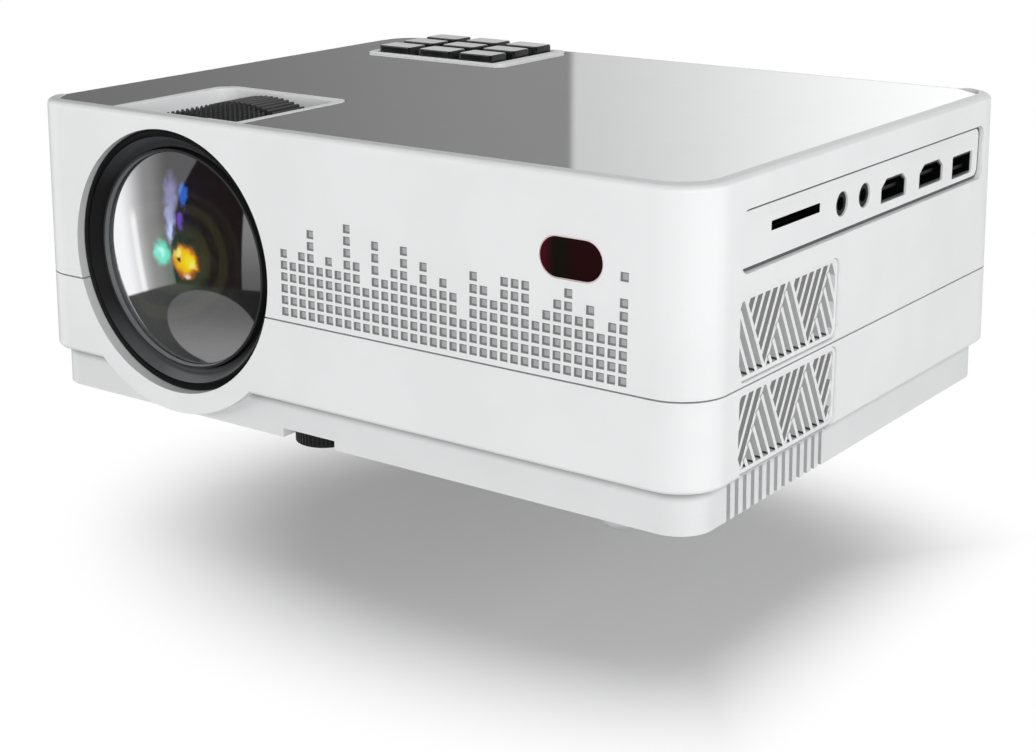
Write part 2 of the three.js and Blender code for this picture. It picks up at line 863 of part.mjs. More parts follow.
// The slot under one slat of a standing triangle: it runs up and back from the window's bottom
// edge to the bar that closes the triangle. A hanging triangle's slots are the same, half a
// period on and turned over.
function ventSlot(apex, count, { bottom, top }, turnedOver) {
  const half = ventPeriod / 2;
  const pitch = half / (ventSlatsPerZone / 2);
  const barEdge = ventSlatWidth / 2 - half;
  const near = half - count * pitch - ventSlatWidth / 2;
  const far = Math.max(near - pitch + ventSlatWidth, barEdge);
  const corner = (start, rise) => {
    const share = rise ? (start - barEdge) / ventPeriod : 0;
    const z = turnedOver ? top - share * (top - bottom) : bottom + share * (top - bottom);
    return [apex + start - half * share, z];
  };
  const corners = [corner(near, false), corner(near, true)];
  if (far > barEdge + mergeTolerance) corners.push(corner(far, true));
  corners.push(corner(far, false));
  return polygonOutline(corners);
}

// Chevron slats: triangles that stand on their base hold slats leaning one way, and the
// triangles between them hold slats leaning the other way.
function grille(vent) {
  const { side, middle, bottom, top } = vent;
  const face = side * (sideFaceAt(top) - grilleSetback);
  const span = side > 0 ? [face - grilleThickness, face] : [face, face + grilleThickness];
  const through = grown(span, cutOverrun);
  const plate = plateAlongX(ventOutline(vent, fitGap), span);
  const window = plateAlongX(ventOutline(vent, ventFrameWidth + fitGap), through);
  const lead = bottom > seamHeight ? 0 : ventPeriod / 2;
  const first = middle + lead - 2 * ventPeriod;
  const slots = [];
  for (let apex = first; apex < middle + ventLength; apex += ventPeriod) {
    for (let count = 0; count < ventSlatsPerZone; count++) {
      slots.push(plateAlongX(ventSlot(apex, count, vent, false), through));
      slots.push(plateAlongX(ventSlot(apex + ventPeriod / 2, count, vent, true), through));
    }
  }
  return plate.subtract(union(slots).intersect(window));
}

// Socket shapes, in (y, z)
function hdmiOutline(middle, inset = 0) {
  const half = hdmiWidth / 2 - inset;
  const topHalf = hdmiTopWidth / 2 - inset;
  const low = hdmiBottom + inset;
  const shoulder = hdmiBottom + hdmiSideHeight;
  return polygonOutline([
    [middle - half, low],
    [middle + half, low],
    [middle + half, shoulder],
    [middle + topHalf, hdmiBottom + hdmiHeight - inset],
    [middle - topHalf, hdmiBottom + hdmiHeight - inset],
    [middle - half, shoulder],
  ]);
}

function usbOutline(inset = 0) {
  const span = around(usbY, usbWidth - 2 * inset);
  const [low, high] = [usbBottom + inset, usbBottom + usbHeight - inset];
  return polygonOutline([
    [span[0], low],
    [span[1], low],
    [span[1], high],
    [span[0], high],
  ]);
}

const socketPanelFace = sideFaceAt(socketRecessBottom + socketRecessHeight) - socketPanelSetback;
const socketPanelBack = socketPanelFace - socketPanelThickness;
const socketFront = socketPanelFace - socketSetback;
const socketBack = socketFront - socketDepth;

function socketPanel() {
  const plate = plateAlongX(socketOutline(fitGap), [socketPanelBack, socketPanelFace]);
  const reach = [socketPanelBack - cutOverrun, socketPanelFace + cutOverrun];
  const holes = [
    plateAlongX(hdmiOutline(hdmiFirstY), reach),
    plateAlongX(hdmiOutline(hdmiFirstY + hdmiPitch), reach),
    plateAlongX(usbOutline(), reach),
    barAlongX(jackRadius, reach, [audioJackY, jackHeight], footSides),
    barAlongX(jackRadius, reach, [avJackY, jackHeight], footSides),
    block(reach, around(cardY, cardWidth), around(cardMiddle, cardHeight)),
  ];
  return cut(plate, holes);
}

// A metal socket shell with a tongue, standing on the main board.
function shelledSocket(outline, middle, width, low, tongueHeight) {
  const shell = plateAlongX(outline(fitGap), [socketBack, socketFront]);
  const hollow = plateAlongX(outline(fitGap + socketShell), [
    socketBack + 2 * socketShell,
    socketFront + cutOverrun,
  ]);
  const across = around(middle, width - 2 * (fitGap + socketShell));
  const tongue = block(
    [socketBack, socketFront - tongueSetback],
    grown(across, -tongueThickness / 2),
    around(tongueHeight, tongueThickness),
  );
  const stand = block([socketBack, socketPanelBack - fitGap], across, [
    mainBoardTop + fitGap / 2,
    low + fitGap + socketShell / 2,
  ]);
  return union([shell.subtract(hollow), tongue, stand]);
}

function hdmiSocket(middle) {
  const tongueHeight = hdmiBottom + hdmiHeight / 2;
  return shelledSocket((inset) => hdmiOutline(middle, inset), middle, hdmiWidth, hdmiBottom, tongueHeight);
}

function usbSocket() {
  const tongueHeight = usbBottom + usbHeight / 3;
  return shelledSocket(usbOutline, usbY, usbWidth, usbBottom, tongueHeight);
}

function jack(middle) {
  const place = [middle, jackHeight];
  const nose = barAlongX(jackRadius - fitGap, [socketPanelBack - cutOverrun, socketFront], place, footSides);
  const body = block([socketBack, socketPanelBack - fitGap], around(middle, jackBodyWidth), [
    mainBoardTop + fitGap / 2,
    jackHeight + jackBodyWidth / 2,
  ]);
  const bore = barAlongX(jackBoreRadius, [socketBack + socketShell, socketFront + cutOverrun], place);
  return nose.add(body).subtract(bore);
}

function cardSlot() {
  const front = socketPanelBack - fitGap;
  const body = block([front - cardBodyDepth, front], around(cardY, cardWidth + 2 * cardBodyMargin), [
    mainBoardTop + fitGap / 2,
    cardMiddle + cardHeight / 2 + cardBodyMargin,
  ]);
  const slot = block(
    [front - cardBodyDepth + cardBodyMargin, front + cutOverrun],
    around(cardY, cardWidth),
    around(cardMiddle, cardHeight),
  );
  return body.subtract(slot);
}

function irOutline(inset = 0) {
  const heights = around(irMiddle, irHeight - 2 * inset);
  return roundedOutline(around(irX, irWidth - 2 * inset), heights, irHeight / 2 - inset);
}

const irFace = -section(irMiddle).halfY + irSetback;

function irReceiver() {
  const front = irFace + irThickness + runGap;
  const [across, upright] = [irX, irMiddle].map((middle) => around(middle, irReceiverWidth));
  return block(across, [front, front + irReceiverDepth], upright);
}

function lensShroud() {
  const outer = lensOpeningRadius - fitGap;
  const inner = barrelBoreRadius;
  return turnedAlongY(
    [
      [outer, shroudFront],
      [outer, shroudBack],
      [inner, shroudBack],
      [inner, shroudFront + shroudConeDepth],
      [outer - shroudRim, shroudFront],
      [outer, shroudFront],
    ],
    lensAxis,
    ringSides,
  );
}

// Points of a shallow dome from its rim to the axis, as [radius, y].
function dome(radius, rimY, bulge) {
  const points = [];
  for (let step = 0; step <= domeSteps; step++) {
    const angle = (step / domeSteps) * (Math.PI / 2);
    points.push([radius * Math.cos(angle), rimY + bulge * Math.sin(angle) ** 2]);
  }
  points[domeSteps][0] = 0;
  return points;
}

const frontGlassRadius = barrelRadius - barrelFrontWall - 1.5 * fitGap;

function frontLens() {
  const face = dome(frontGlassRadius, frontGlassRim, -frontGlassBulge);
  return turnedAlongY([[0, frontGlassBack], [frontGlassRadius, frontGlassBack], ...face], lensAxis);
}

function lensBarrel() {
  const seatRadius = barrelRadius - barrelFrontWall;
  const boreRadius = barrelRadius - barrelWall;
  const rearSeatRadius = rearGlassRadius + fitGap;
  const rearSeat = barrelBack - rearLipDepth;
  return turnedAlongY(
    [
      [barrelRadius, barrelFront],
      [barrelRadius, barrelBack],
      [rearSeatRadius - rearLipWidth, barrelBack],
      [rearSeatRadius - rearLipWidth, rearSeat],
      [rearSeatRadius, rearSeat],
      [rearSeatRadius, rearSeat - rearSeatDepth],
      [boreRadius, rearSeat - rearSeatDepth],
      [boreRadius, barrelFront + frontSeatDepth],
      [seatRadius, barrelFront + frontSeatDepth],
      [seatRadius, barrelFront],
      [barrelRadius, barrelFront],
    ],
    lensAxis,
  );
}

function rearLens() {
  const back = barrelBack - rearLipDepth - fitGap;
  const front = back - rearGlassEdge;
  return turnedAlongY(
    [[0, back], [rearGlassRadius, back], ...dome(rearGlassRadius, front, -rearGlassBulge)],
    lensAxis,
  );
}

function lensMount() {
  const sleeveReach = [shroudBack + runGap, mountFlangeFront + fitGap];
  const sleeve = barAlongY(mountRadius, sleeveReach, lensAxis, fineSides);
  const flange = block(
    around(lensAxisX, mountFlangeWidth),
    [mountFlangeFront, mountFlangeFront + mountFlangeThickness],
    [floorTop + runGap, roofTop - trayDrop - trayWall - mountFlangeTopDrop],
  );
  const bore = barAlongY(
    barrelBoreRadius,
    [frontFace, mountFlangeFront + mountFlangeThickness + cutOverrun],
    lensAxis,
    fineSides,
  );
  return sleeve.add(flange).subtract(bore);
}

function ring(front, width) {
  return tubeAlongY(mountRadius + runGap, ringRadius, [front, front + width], lensAxis, ringSides);
}

const opticsSpanX = around(lensAxisX, opticsWidth);
const opticsSpanZ = around(lensAxisHeight, opticsHeight);
const lcdMiddleY = opticsFront + lcdFromFront;
const lcdPivot = [lcdMiddleY, lensAxisHeight];

function opticsHousing() {
  const outer = block(opticsSpanX, [opticsFront, opticsBack], opticsSpanZ);
  const hollow = block(
    grown(opticsSpanX, -opticsWall),
    [opticsFront - cutOverrun, opticsBack - opticsWall],
    grown(opticsSpanZ, -opticsWall),
  );
  const lightHole = barAlongY(
    lightHoleRadius,
    [opticsBack - cutOverrun, opticsBack + cutOverrun],
    lensAxis,
    footSides,
  );
  const pivots = barAlongX(pivotRadius + runGap, grown(opticsSpanX, cutOverrun), lcdPivot);
  const feet = [opticsFront, opticsBack - opticsFootWidth].flatMap((y) =>
    [opticsSpanX[0], opticsSpanX[1] - opticsFootWidth].map((x) =>
      block([x, x + opticsFootWidth], [y, y + opticsFootWidth], [
        floorTop + runGap,
        opticsSpanZ[0] + opticsWall / 2,
      ]),
    ),
  );
  return cut(union([outer, ...feet]), [hollow, lightHole, pivots]);
}

const lcdFrameWidth = opticsWidth - 2 * (opticsWall + 2 * runGap);

function lcdFrame() {
  const thickness = around(lcdMiddleY, lcdFrameThickness);
  const body = block(around(lensAxisX, lcdFrameWidth), thickness, around(lensAxisHeight, lcdFrameHeight));
  const seat = block(
    around(lensAxisX, lcdFrameWidth - 2 * lcdFrameBorder),
    [lcdMiddleY, thickness[1] + cutOverrun],
    around(lensAxisHeight, lcdFrameHeight - 2 * lcdFrameBorder),
  );
  const window = block(
    around(lensAxisX, lcdFrameWidth - 2 * (lcdFrameBorder + lcdWindowBorder)),
    grown(thickness, cutOverrun),
    around(lensAxisHeight, lcdFrameHeight - 2 * (lcdFrameBorder + lcdWindowBorder)),
  );
  const pins = barAlongX(pivotRadius, grown(opticsSpanX, runGap), lcdPivot);
  return body.add(pins).subtract(seat).subtract(window);
}

function lcdPanel() {
  return block(
    around(lensAxisX, lcdFrameWidth - 2 * (lcdFrameBorder + fitGap)),
    [lcdMiddleY + fitGap, lcdMiddleY + fitGap + lcdPanelThickness],
    around(lensAxisHeight, lcdFrameHeight - 2 * (lcdFrameBorder + fitGap)),
  );
}

function opticsPlate(fromFront, thickness) {
  const front = opticsFront + fromFront;
  const inset = -(opticsWall + runGap);
  return block(grown(opticsSpanX, inset), [front, front + thickness], grown(opticsSpanZ, inset));
}

function condenserLens() {
  const front = opticsFront + condenserFromFront;
  const rim = front + condenserThickness / 2;
  const bulge = turnedAlongY(
    [[0, rim], [condenserRadius, rim], ...dome(condenserRadius, front + condenserThickness, condenserBulge)],
    lensAxis,
  );
  return opticsPlate(condenserFromFront, condenserThickness).add(bulge);
}

function ledModule() {
  const front = opticsBack + runGap;
  const square = (width, reach) => block(around(lensAxisX, width), reach, around(lensAxisHeight, width));
  const plate = square(ledPlateWidth, [front, front + ledPlateThickness]);
  const chip = square(ledChipWidth, [front - ledChipRise, front + fitGap]);
  return plate.add(chip);
}

function heatSink() {
  const front = opticsBack + runGap + ledPlateThickness + fitGap;
  const spanX = around(lensAxisX, sinkWidth);
  const [low, high] = around(lensAxisHeight, sinkHeight);
  const base = block(spanX, [front, front + sinkBase], [low, high]);
  const step = (high - low - sinkFinThickness) / (sinkFinCount - 1);
  const fins = Array.from({ length: sinkFinCount }, (_, i) =>
    block(spanX, [front + sinkBase - fitGap, front + sinkBase + sinkFinDepth], [
      low + i * step,
      low + i * step + sinkFinThickness,
    ]),
  );
  return union([base, ...fins]);
}

// A square fan frame about an axis along X. Its struts and motor base are on the inner side.
const fanOuterFace = plinthInnerSide - 2 * runGap;

function fanFrame(side, middle) {
  const outer = side * fanOuterFace;
  const inner = outer - side * fanThickness;
  const span = [Math.min(outer, inner), Math.max(outer, inner)];
  const place = [middle, fanMiddle];
  const body = plateAlongX(
    roundedOutline(around(middle, fanSize), around(fanMiddle, fanSize), fanCorner),
    span,
  );
  const bore = barAlongX(fanBoreRadius, grown(span, cutOverrun), place, footSides);
  const plate = side > 0 ? [inner, inner + fanBasePlate] : [inner - fanBasePlate, inner];
  const hub = barAlongX(fanHubRadius, plate, place, footSides);
  const struts = [
    block(plate, around(middle, fanStrutReach), around(fanMiddle, fanStrutWidth)),
    block(plate, around(middle, fanStrutWidth), around(fanMiddle, fanStrutReach)),
  ];
  return body.subtract(bore).add(union([hub, ...struts]));
}

function fanRotor(side, middle) {
  const inner = side * (fanOuterFace - fanThickness) + side * (fanBasePlate + runGap);
  const outer = side * (fanOuterFace - fanBladeGap);
  const span = [Math.min(outer, inner), Math.max(outer, inner)];
  const place = [middle, fanMiddle];
  const hub = barAlongX(fanHubRadius, span, place, footSides);
  const bladeSpan = grown(span, -fanBladeGap);
  const blades = Array.from({ length: fanBladeCount }, (_, i) => {
    const geometry = new THREE.BoxGeometry(
      (bladeSpan[1] - bladeSpan[0]) / Math.cos(fanBladeTwist),
      fanBladeThickness,
      fanBoreRadius - fanBladeGap - fanHubRadius / 2,
    );
    geometry.rotateZ(fanBladeTwist);
    geometry.translate(0, 0, (fanBoreRadius - fanBladeGap + fanHubRadius / 2) / 2);
    geometry.rotateX((i / fanBladeCount) * 2 * Math.PI);
    geometry.translate((bladeSpan[0] + bladeSpan[1]) / 2, middle, fanMiddle);
    return solid(geometry);
  });
  const envelope = barAlongX(fanBoreRadius - fanBladeGap, span, place, fineSides);
  return union([hub, ...blades]).intersect(envelope);
}

function speaker() {
  const front = frontFace + wallThickness + 4 * runGap;
  const coneBack = front + speakerFlange + speakerConeDepth;
  return turnedAlongY(
    [
      [0, front + speakerFlange],
      [magnetRadius, front + speakerFlange],
      [speakerRadius - speakerFlange, front],
      [speakerRadius, front],
      [speakerRadius, front + speakerFlange],
      [magnetRadius, coneBack],
      [magnetRadius, coneBack + magnetDepth],
      [0, coneBack + magnetDepth],
    ],
    [speakerX, speakerHeight],
    footSides,
  );
}

const mainBoardRight = socketPanelBack - runGap;
const mainBoardMiddleY = socketRecessCentreY;

function mainPostPlaces() {
  const left = mainBoardRight - mainBoardWidth + mainPostInset;
  const offset = mainBoardLength / 2 - mainPostInset;
  return [left, left + mainBoardWidth / 2 - mainPostInset].flatMap((x) =>
    [-1, 1].map((side) => [x, mainBoardMiddleY + side * offset]),
  );
}

function mainBoard() {
  const board = block(
    [mainBoardRight - mainBoardWidth, mainBoardRight],
    around(mainBoardMiddleY, mainBoardLength),
    [mainBoardBottom, mainBoardTop],
  );
  const chip = block(
    around(mainBoardRight - (mainBoardWidth * 2) / 3, chipWidth),
    around(mainBoardMiddleY, chipWidth),
    [mainBoardTop - fitGap, mainBoardTop + chipHeight],
  );
  return board.add(chip);
}

function powerBoard() {
  const bottom = floorTop + powerPostHeight + fitGap;
  const top = bottom + boardThickness;
  const centred = (width, depth, reach) =>
    block(around(powerBoardX, width), around(powerBoardY, depth), reach);
  const board = centred(powerBoardWidth, powerBoardDepth, [bottom, top]);
  const transformer = centred(transformerWidth, transformerWidth, [top - fitGap, top + transformerHeight]);
  const capacitor = barAlongZ(
    capacitorRadius,
    [top - fitGap, top + capacitorHeight],
    [powerBoardX - transformerWidth - capacitorRadius / 2, powerBoardY],
    footSides,
  );
  return union([board, transformer, capacitor]);
}

function inletOutline(inset = 0) {
  const span = around(inletX, inletWidth - 2 * inset);
  return roundedOutline(span, around(inletMiddle, inletHeight - 2 * inset), inletHeight / 4);
}

function powerInlet() {
  const back = section(inletMiddle).halfY - fitGap;
  const body = plateAlongY(inletOutline(fitGap), [back - inletDepth, back]);
  const socketShape = roundedOutline(
    around(inletX, inletSocketWidth),
    around(inletMiddle, inletSocketHeight),
    inletSocketHeight / 2 - fitGap,
  );
  const socket = plateAlongY(socketShape, [back - inletSocketDepth, back + cutOverrun]);
  const pins = [-1, 1].map((side) =>
    barAlongY(
      inletPinRadius,
      [back - inletSocketDepth - fitGap, back - inletPinSetback],
      [inletX + (side * inletPinPitch) / 2, inletMiddle],
    ),
  );
  return union([body.subtract(socket), ...pins]);
}

// A fixed rubber foot with its underside at the origin.
function foot() {
  const flat = footRadius * footFlatShare;
  const profile = [
    [0, 0],
    [flat, 0],
    [footRadius, footRadius - flat],
    [footRadius, footHeight - fitGap / 2],
    [0, footHeight - fitGap / 2],
  ];
  const points = profile.map(([radius, height]) => new THREE.Vector2(radius, height));
  const geometry = new THREE.LatheGeometry(points, footSides);
  geometry.rotateX(Math.PI / 2);
  return solid(geometry);
}

// The thumbwheel is held in its slot, and its hub turns the screw that carries the pad.
const wheelBottom = footHeight - wheelDrop;
const wheelTop = wheelBottom + wheelThickness;
const wheelHubTop = footHeight + wheelWellCeiling + wheelHubHeight;

function footWheel() {
  const place = [wheelFootX, wheelFootY];
  const disc = barAlongZ(wheelRadius, [wheelBottom, wheelTop], place, footSides);
  const hub = barAlongZ(wheelHubRadius, [wheelTop - fitGap, wheelHubTop], place, footSides);
  const reach = [wheelBottom - cutOverrun, wheelHubTop + cutOverrun];
  const bore = barAlongZ(screwFootRadius + runGap, reach, place);
  return disc.add(hub).subtract(bore);
}

function footScrew() {
  const place = [wheelFootX, wheelFootY];
  const padTop = wheelBottom - runGap;
  const pad = barAlongZ(footPadRadius, [padTop - footPadThickness, padTop], place, footSides);
  const stem = barAlongZ(screwFootRadius, [padTop - fitGap, wheelHubTop + footTravel], place);
  return pad.add(stem);
}

// A case screw with the underside of its head at the origin, pointing up.
function caseScrew() {
  const shank = barAlongZ(screwShankRadius, [-fitGap, seamHeight - columnWebHeight + screwReach], [0, 0]);
  const head = barAlongZ(screwHeadRadius, [-screwHeadHeight, 0], [0, 0]);
  const drive = [
    block(around(0, 3 * screwDriveWidth), around(0, screwDriveWidth / 2), [
      -screwHeadHeight - cutOverrun,
      -screwHeadHeight + screwDriveDepth,
    ]),
    block(around(0, screwDriveWidth / 2), around(0, 3 * screwDriveWidth), [
      -screwHeadHeight - cutOverrun,
      -screwHeadHeight + screwDriveDepth,
    ]),
  ];
  return cut(head.add(shank), drive);
}

// Finishes
function finish(color, roughness, metalness = 0) {
  return new THREE.MeshStandardMaterial({ color, roughness, metalness });
}

const whitePlastic = finish(0xe9eaec, 0.35);
const glossPanel = finish(0x77797b, 0.08);
const blackPlastic = finish(0x161617, 0.4);
const glossBlack = finish(0x0a0a0b, 0.12);
const keyBlack = finish(0x141415, 0.2);
const redWindow = finish(0x3a0a0c, 0.1);
const clearGlass = finish(0x9aa6b2, 0.03);
const clearPlastic = finish(0xc9d2d8, 0.1);
const greyRubber = finish(0xb9bbbd, 0.8);
const socketMetal = finish(0xa9abad, 0.35, 1);
const screwSteel = finish(0x77787a, 0.4, 1);
const aluminium = finish(0xb4b6b8, 0.4, 1);
const boardGreen = finish(0x1f5a3a, 0.5);
const copper = finish(0xb07a4a, 0.4, 1);

const projector = new THREE.Group();

function place(name, made, material, position = [0, 0, 0]) {
  const mesh = new THREE.Mesh(geometryOf(made), material);
  mesh.name = name;
  mesh.position.set(...position);
  projector.add(mesh);
}

place("top_shell", topShell(), whitePlastic);
place("bottom_shell", bottomShell(), whitePlastic);
place("top_panel", topPanel(), glossPanel);
place("ring_tray", ringTray(), whitePlastic);
place("keypad_bezel", keypadBezel(), whitePlastic);
place("keypad_board", keypadBoard(), boardGreen);
for (const { name, x, y } of keyPlaces()) {
  place(name, key(), keyBlack, [x, y, keycapBottom]);
}

place("socket_panel", socketPanel(), whitePlastic);
place("hdmi_socket_front", hdmiSocket(hdmiFirstY), socketMetal);
place("hdmi_socket_rear", hdmiSocket(hdmiFirstY + hdmiPitch), socketMetal);
place("usb_socket", usbSocket(), socketMetal);
place("audio_jack", jack(audioJackY), blackPlastic);
place("av_jack", jack(avJackY), blackPlastic);
place("card_slot", cardSlot(), blackPlastic);
for (const vent of vents) {
  place(`${vent.name}_grille`, grille(vent), whitePlastic);
}

place("ir_window", plateAlongY(irOutline(fitGap), [irFace, irFace + irThickness]), redWindow);
place("ir_receiver", irReceiver(), glossBlack);

place("lens_shroud", lensShroud(), glossBlack);
place("front_lens", frontLens(), clearGlass);
place("lens_barrel", lensBarrel(), blackPlastic);
place("rear_lens", rearLens(), clearGlass);
place("lens_mount", lensMount(), blackPlastic);
place("focus_ring", ring(focusRingFront, focusRingWidth), blackPlastic);
place("keystone_ring", ring(keystoneRingFront, keystoneRingWidth), blackPlastic);

place("optics_housing", opticsHousing(), blackPlastic);
place("lcd_frame", lcdFrame(), blackPlastic);
place("lcd_panel", lcdPanel(), clearGlass);
place("fresnel_lens", opticsPlate(fresnelFromFront, fresnelThickness), clearPlastic);
place("condenser_lens", condenserLens(), clearGlass);
place("led_module", ledModule(), copper);
place("heat_sink", heatSink(), aluminium);

for (const [name, side, middle] of [
  ["intake_fan", 1, intakeFanY],
  ["exhaust_fan", -1, leftVentCentreY],
]) {
  place(`${name}_frame`, fanFrame(side, middle), blackPlastic);
  place(`${name}_rotor`, fanRotor(side, middle), blackPlastic);
}

place("speaker", speaker(), blackPlastic);
place("main_board", mainBoard(), boardGreen);
place("power_board", powerBoard(), boardGreen);
place("power_inlet", powerInlet(), blackPlastic);

for (const [name, x, y] of [
  ["front_left", -footX, frontLeftFootY],
  ["front_right", footX, -footY],
  ["rear_left", -footX, footY],
  ["rear_right", footX, footY],
]) {
  place(`${name}_foot`, foot(), greyRubber, [x, y, 0]);
}
place("foot_wheel", footWheel(), blackPlastic);
place("foot_screw", footScrew(), blackPlastic);

for (const [name, x, y] of columnPlaces) {
  place(`${name}_screw`, caseScrew(), screwSteel, [x, y, columnWebHeight - fitGap / 2]);
}

export default projector;
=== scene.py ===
import math
import bpy
import bmesh
from mathutils import Matrix, Vector


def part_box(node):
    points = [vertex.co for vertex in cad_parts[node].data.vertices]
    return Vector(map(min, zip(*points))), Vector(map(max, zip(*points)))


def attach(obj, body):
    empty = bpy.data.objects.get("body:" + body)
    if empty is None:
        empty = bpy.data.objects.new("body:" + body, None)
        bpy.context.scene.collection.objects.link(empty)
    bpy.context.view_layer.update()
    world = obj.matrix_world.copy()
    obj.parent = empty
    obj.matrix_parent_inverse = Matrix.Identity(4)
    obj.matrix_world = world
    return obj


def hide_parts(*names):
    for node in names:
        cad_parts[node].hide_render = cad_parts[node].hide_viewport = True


# A tabletop LED projector, white with a gloss grey roof, a large front lens and black rings.
# Everything is in metres, +Z up, with the lens looking along -Y and the sockets on the +X side.
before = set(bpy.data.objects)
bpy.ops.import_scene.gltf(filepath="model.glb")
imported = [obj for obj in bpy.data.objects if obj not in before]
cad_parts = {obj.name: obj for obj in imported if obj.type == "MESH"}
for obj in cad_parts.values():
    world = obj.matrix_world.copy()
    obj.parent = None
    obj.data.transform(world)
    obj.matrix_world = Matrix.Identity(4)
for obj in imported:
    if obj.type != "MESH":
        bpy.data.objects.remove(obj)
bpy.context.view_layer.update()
MM = 0.001

# Camera
# A long lens from the front right and a little above, rolled a quarter of a degree as in the
# photograph.
lens_length = 66.142
sensor_width = 36.0
camera_place = Vector((328.035, -449.916, 179.213)) * MM
camera_azimuth = math.radians(36.1692)
camera_height = math.radians(17.5163)
camera_roll = math.radians(-0.2584)

back = Vector((
    math.sin(camera_azimuth) * math.cos(camera_height),
    -math.cos(camera_azimuth) * math.cos(camera_height),
    math.sin(camera_height),
))
level_right = Vector((math.cos(camera_azimuth), math.sin(camera_azimuth), 0))
level_up = back.cross(level_right)
right = math.cos(camera_roll) * level_right + math.sin(camera_roll) * level_up
up = math.cos(camera_roll) * level_up - math.sin(camera_roll) * level_right
camera_data = bpy.data.cameras.new("camera")
camera_data.lens = lens_length
camera_data.sensor_fit = "HORIZONTAL"
camera_data.sensor_width = sensor_width
camera_data.clip_start = 10 * MM
camera_data.clip_end = 50
camera = bpy.data.objects.new("camera", camera_data)
bpy.context.scene.collection.objects.link(camera)
turn = Matrix((right, up, back)).transposed().to_4x4()
camera.matrix_world = Matrix.Translation(camera_place) @ turn
bpy.context.scene.camera = camera
bpy.context.scene.view_settings.view_transform = "Standard"


# Studio
# A floor that turns white away from the case, four soft boxes, and a world that gloss and glass
# see as a room of light boxes and grey cards. To everything else it is plain light.
class Signal:
    """An output socket of a node tree; sums and products of signals add Math nodes."""

    def __init__(self, tree, socket=None):
        self.tree = tree
        self.socket = socket

    def node(self, kind, sockets=None, settings=None, output=0):
        """A node with these settings, and these values or links in its sockets."""
        made = self.tree.nodes.new(kind)
        for name, value in (settings or {}).items():
            setattr(made, name, value)
        for name, value in (sockets or {}).items():
            if isinstance(value, Signal):
                self.tree.links.new(value.socket, made.inputs[name])
            else:
                made.inputs[name].default_value = value
        return Signal(self.tree, made.outputs[output])

    def math(self, operation, *others, first=None):
        """A Math node on this signal and others; first goes before it where the order counts."""
        values = (self, *others) if first is None else (first, self)
        return self.node("ShaderNodeMath", dict(enumerate(values)), {"operation": operation})

    def __add__(self, other):
        return self.math("ADD", other)

    __radd__ = __add__

    def __sub__(self, other):
        return self.math("SUBTRACT", other)

    def __rsub__(self, other):
        return self.math("SUBTRACT", first=other)

    def __mul__(self, other):
        return self.math("MULTIPLY", other)

    __rmul__ = __mul__

    def __truediv__(self, other):
        return self.math("DIVIDE", other)

    def between(self, low, high):
        """0 below low, 1 above high and a smooth step in between."""
        sockets = {"Value": self, "From Min": low, "From Max": high}
        return self.node("ShaderNodeMapRange", sockets, {"interpolation_type": "SMOOTHSTEP"})

    def mixed(self, first, second):
        """The first colour where this signal is 0 and the second where it is 1."""
        sockets = {"Factor": self, 6: first, 7: second}
        return self.node("ShaderNodeMix", sockets, {"data_type": "RGBA"}, output=2)

    def vector(self, **parts):
        """A vector from its X, Y and Z; those left out are 0."""
        return self.node("ShaderNodeCombineXYZ", parts)

    def parts(self):
        """The three numbers of a vector."""
        split = self.tree.nodes.new("ShaderNodeSeparateXYZ")
        self.tree.links.new(self.socket, split.inputs[0])
        return [Signal(self.tree, socket) for socket in split.outputs]

    def place(self):
        """The point that is painted, in the object's own metres."""
        return self.node("ShaderNodeTexCoord", output=3)

    def into(self, kind, socket="Surface"):
        """Ends a tree with its output node."""
        end = self.tree.nodes.new(kind)
        self.tree.links.new(self.socket, end.inputs[socket])


def grey(level):
    return (level, level, level, 1)


def ray_is(start, *kinds):
    """1 for rays of these kinds, by the names of the Light Path node's outputs."""
    path = start.tree.nodes.new("ShaderNodeLightPath")
    total, *others = [Signal(start.tree, path.outputs[kind]) for kind in kinds]
    for flag in others:
        total = total.math("MAXIMUM", flag)
    return total


def blank_material(name):
    """A material with an empty node tree, and a signal to start the tree from."""
    made = bpy.data.materials.new(name)
    made.use_nodes = True
    made.node_tree.nodes.clear()
    return made, Signal(made.node_tree)


world = bpy.data.worlds.new("studio")
bpy.context.scene.world = world
world.use_nodes = True
world.node_tree.nodes.clear()
air = Signal(world.node_tree)

# Directions, in degrees: the bearing from straight ahead of the lens, and the height above level.
east, north, high = air.node("ShaderNodeTexCoord").parts()
bearing = east.math("ARCTAN2", 0 - north) * (180 / math.pi)
height = high.math("ARCSINE") * (180 / math.pi)

# Behind the camera's view: a light wall, and a grey card whose edge shows in the roof panel.
card_edge = -145.5
card_far = -95
card_blur = 0.15
card_grey = (bearing - card_edge).between(0, 16).mixed(grey(0.27), grey(0.175))
wall_light = (card_edge - bearing).between(-2, 14).mixed(grey(0.62), grey(1.12))
on_card = (bearing - card_edge).between(-card_blur, card_blur) * (card_far - bearing).between(0, 12)
behind = on_card.mixed(wall_light, card_grey)
ceiling = height.between(28, 50).mixed(behind, grey(0.42))

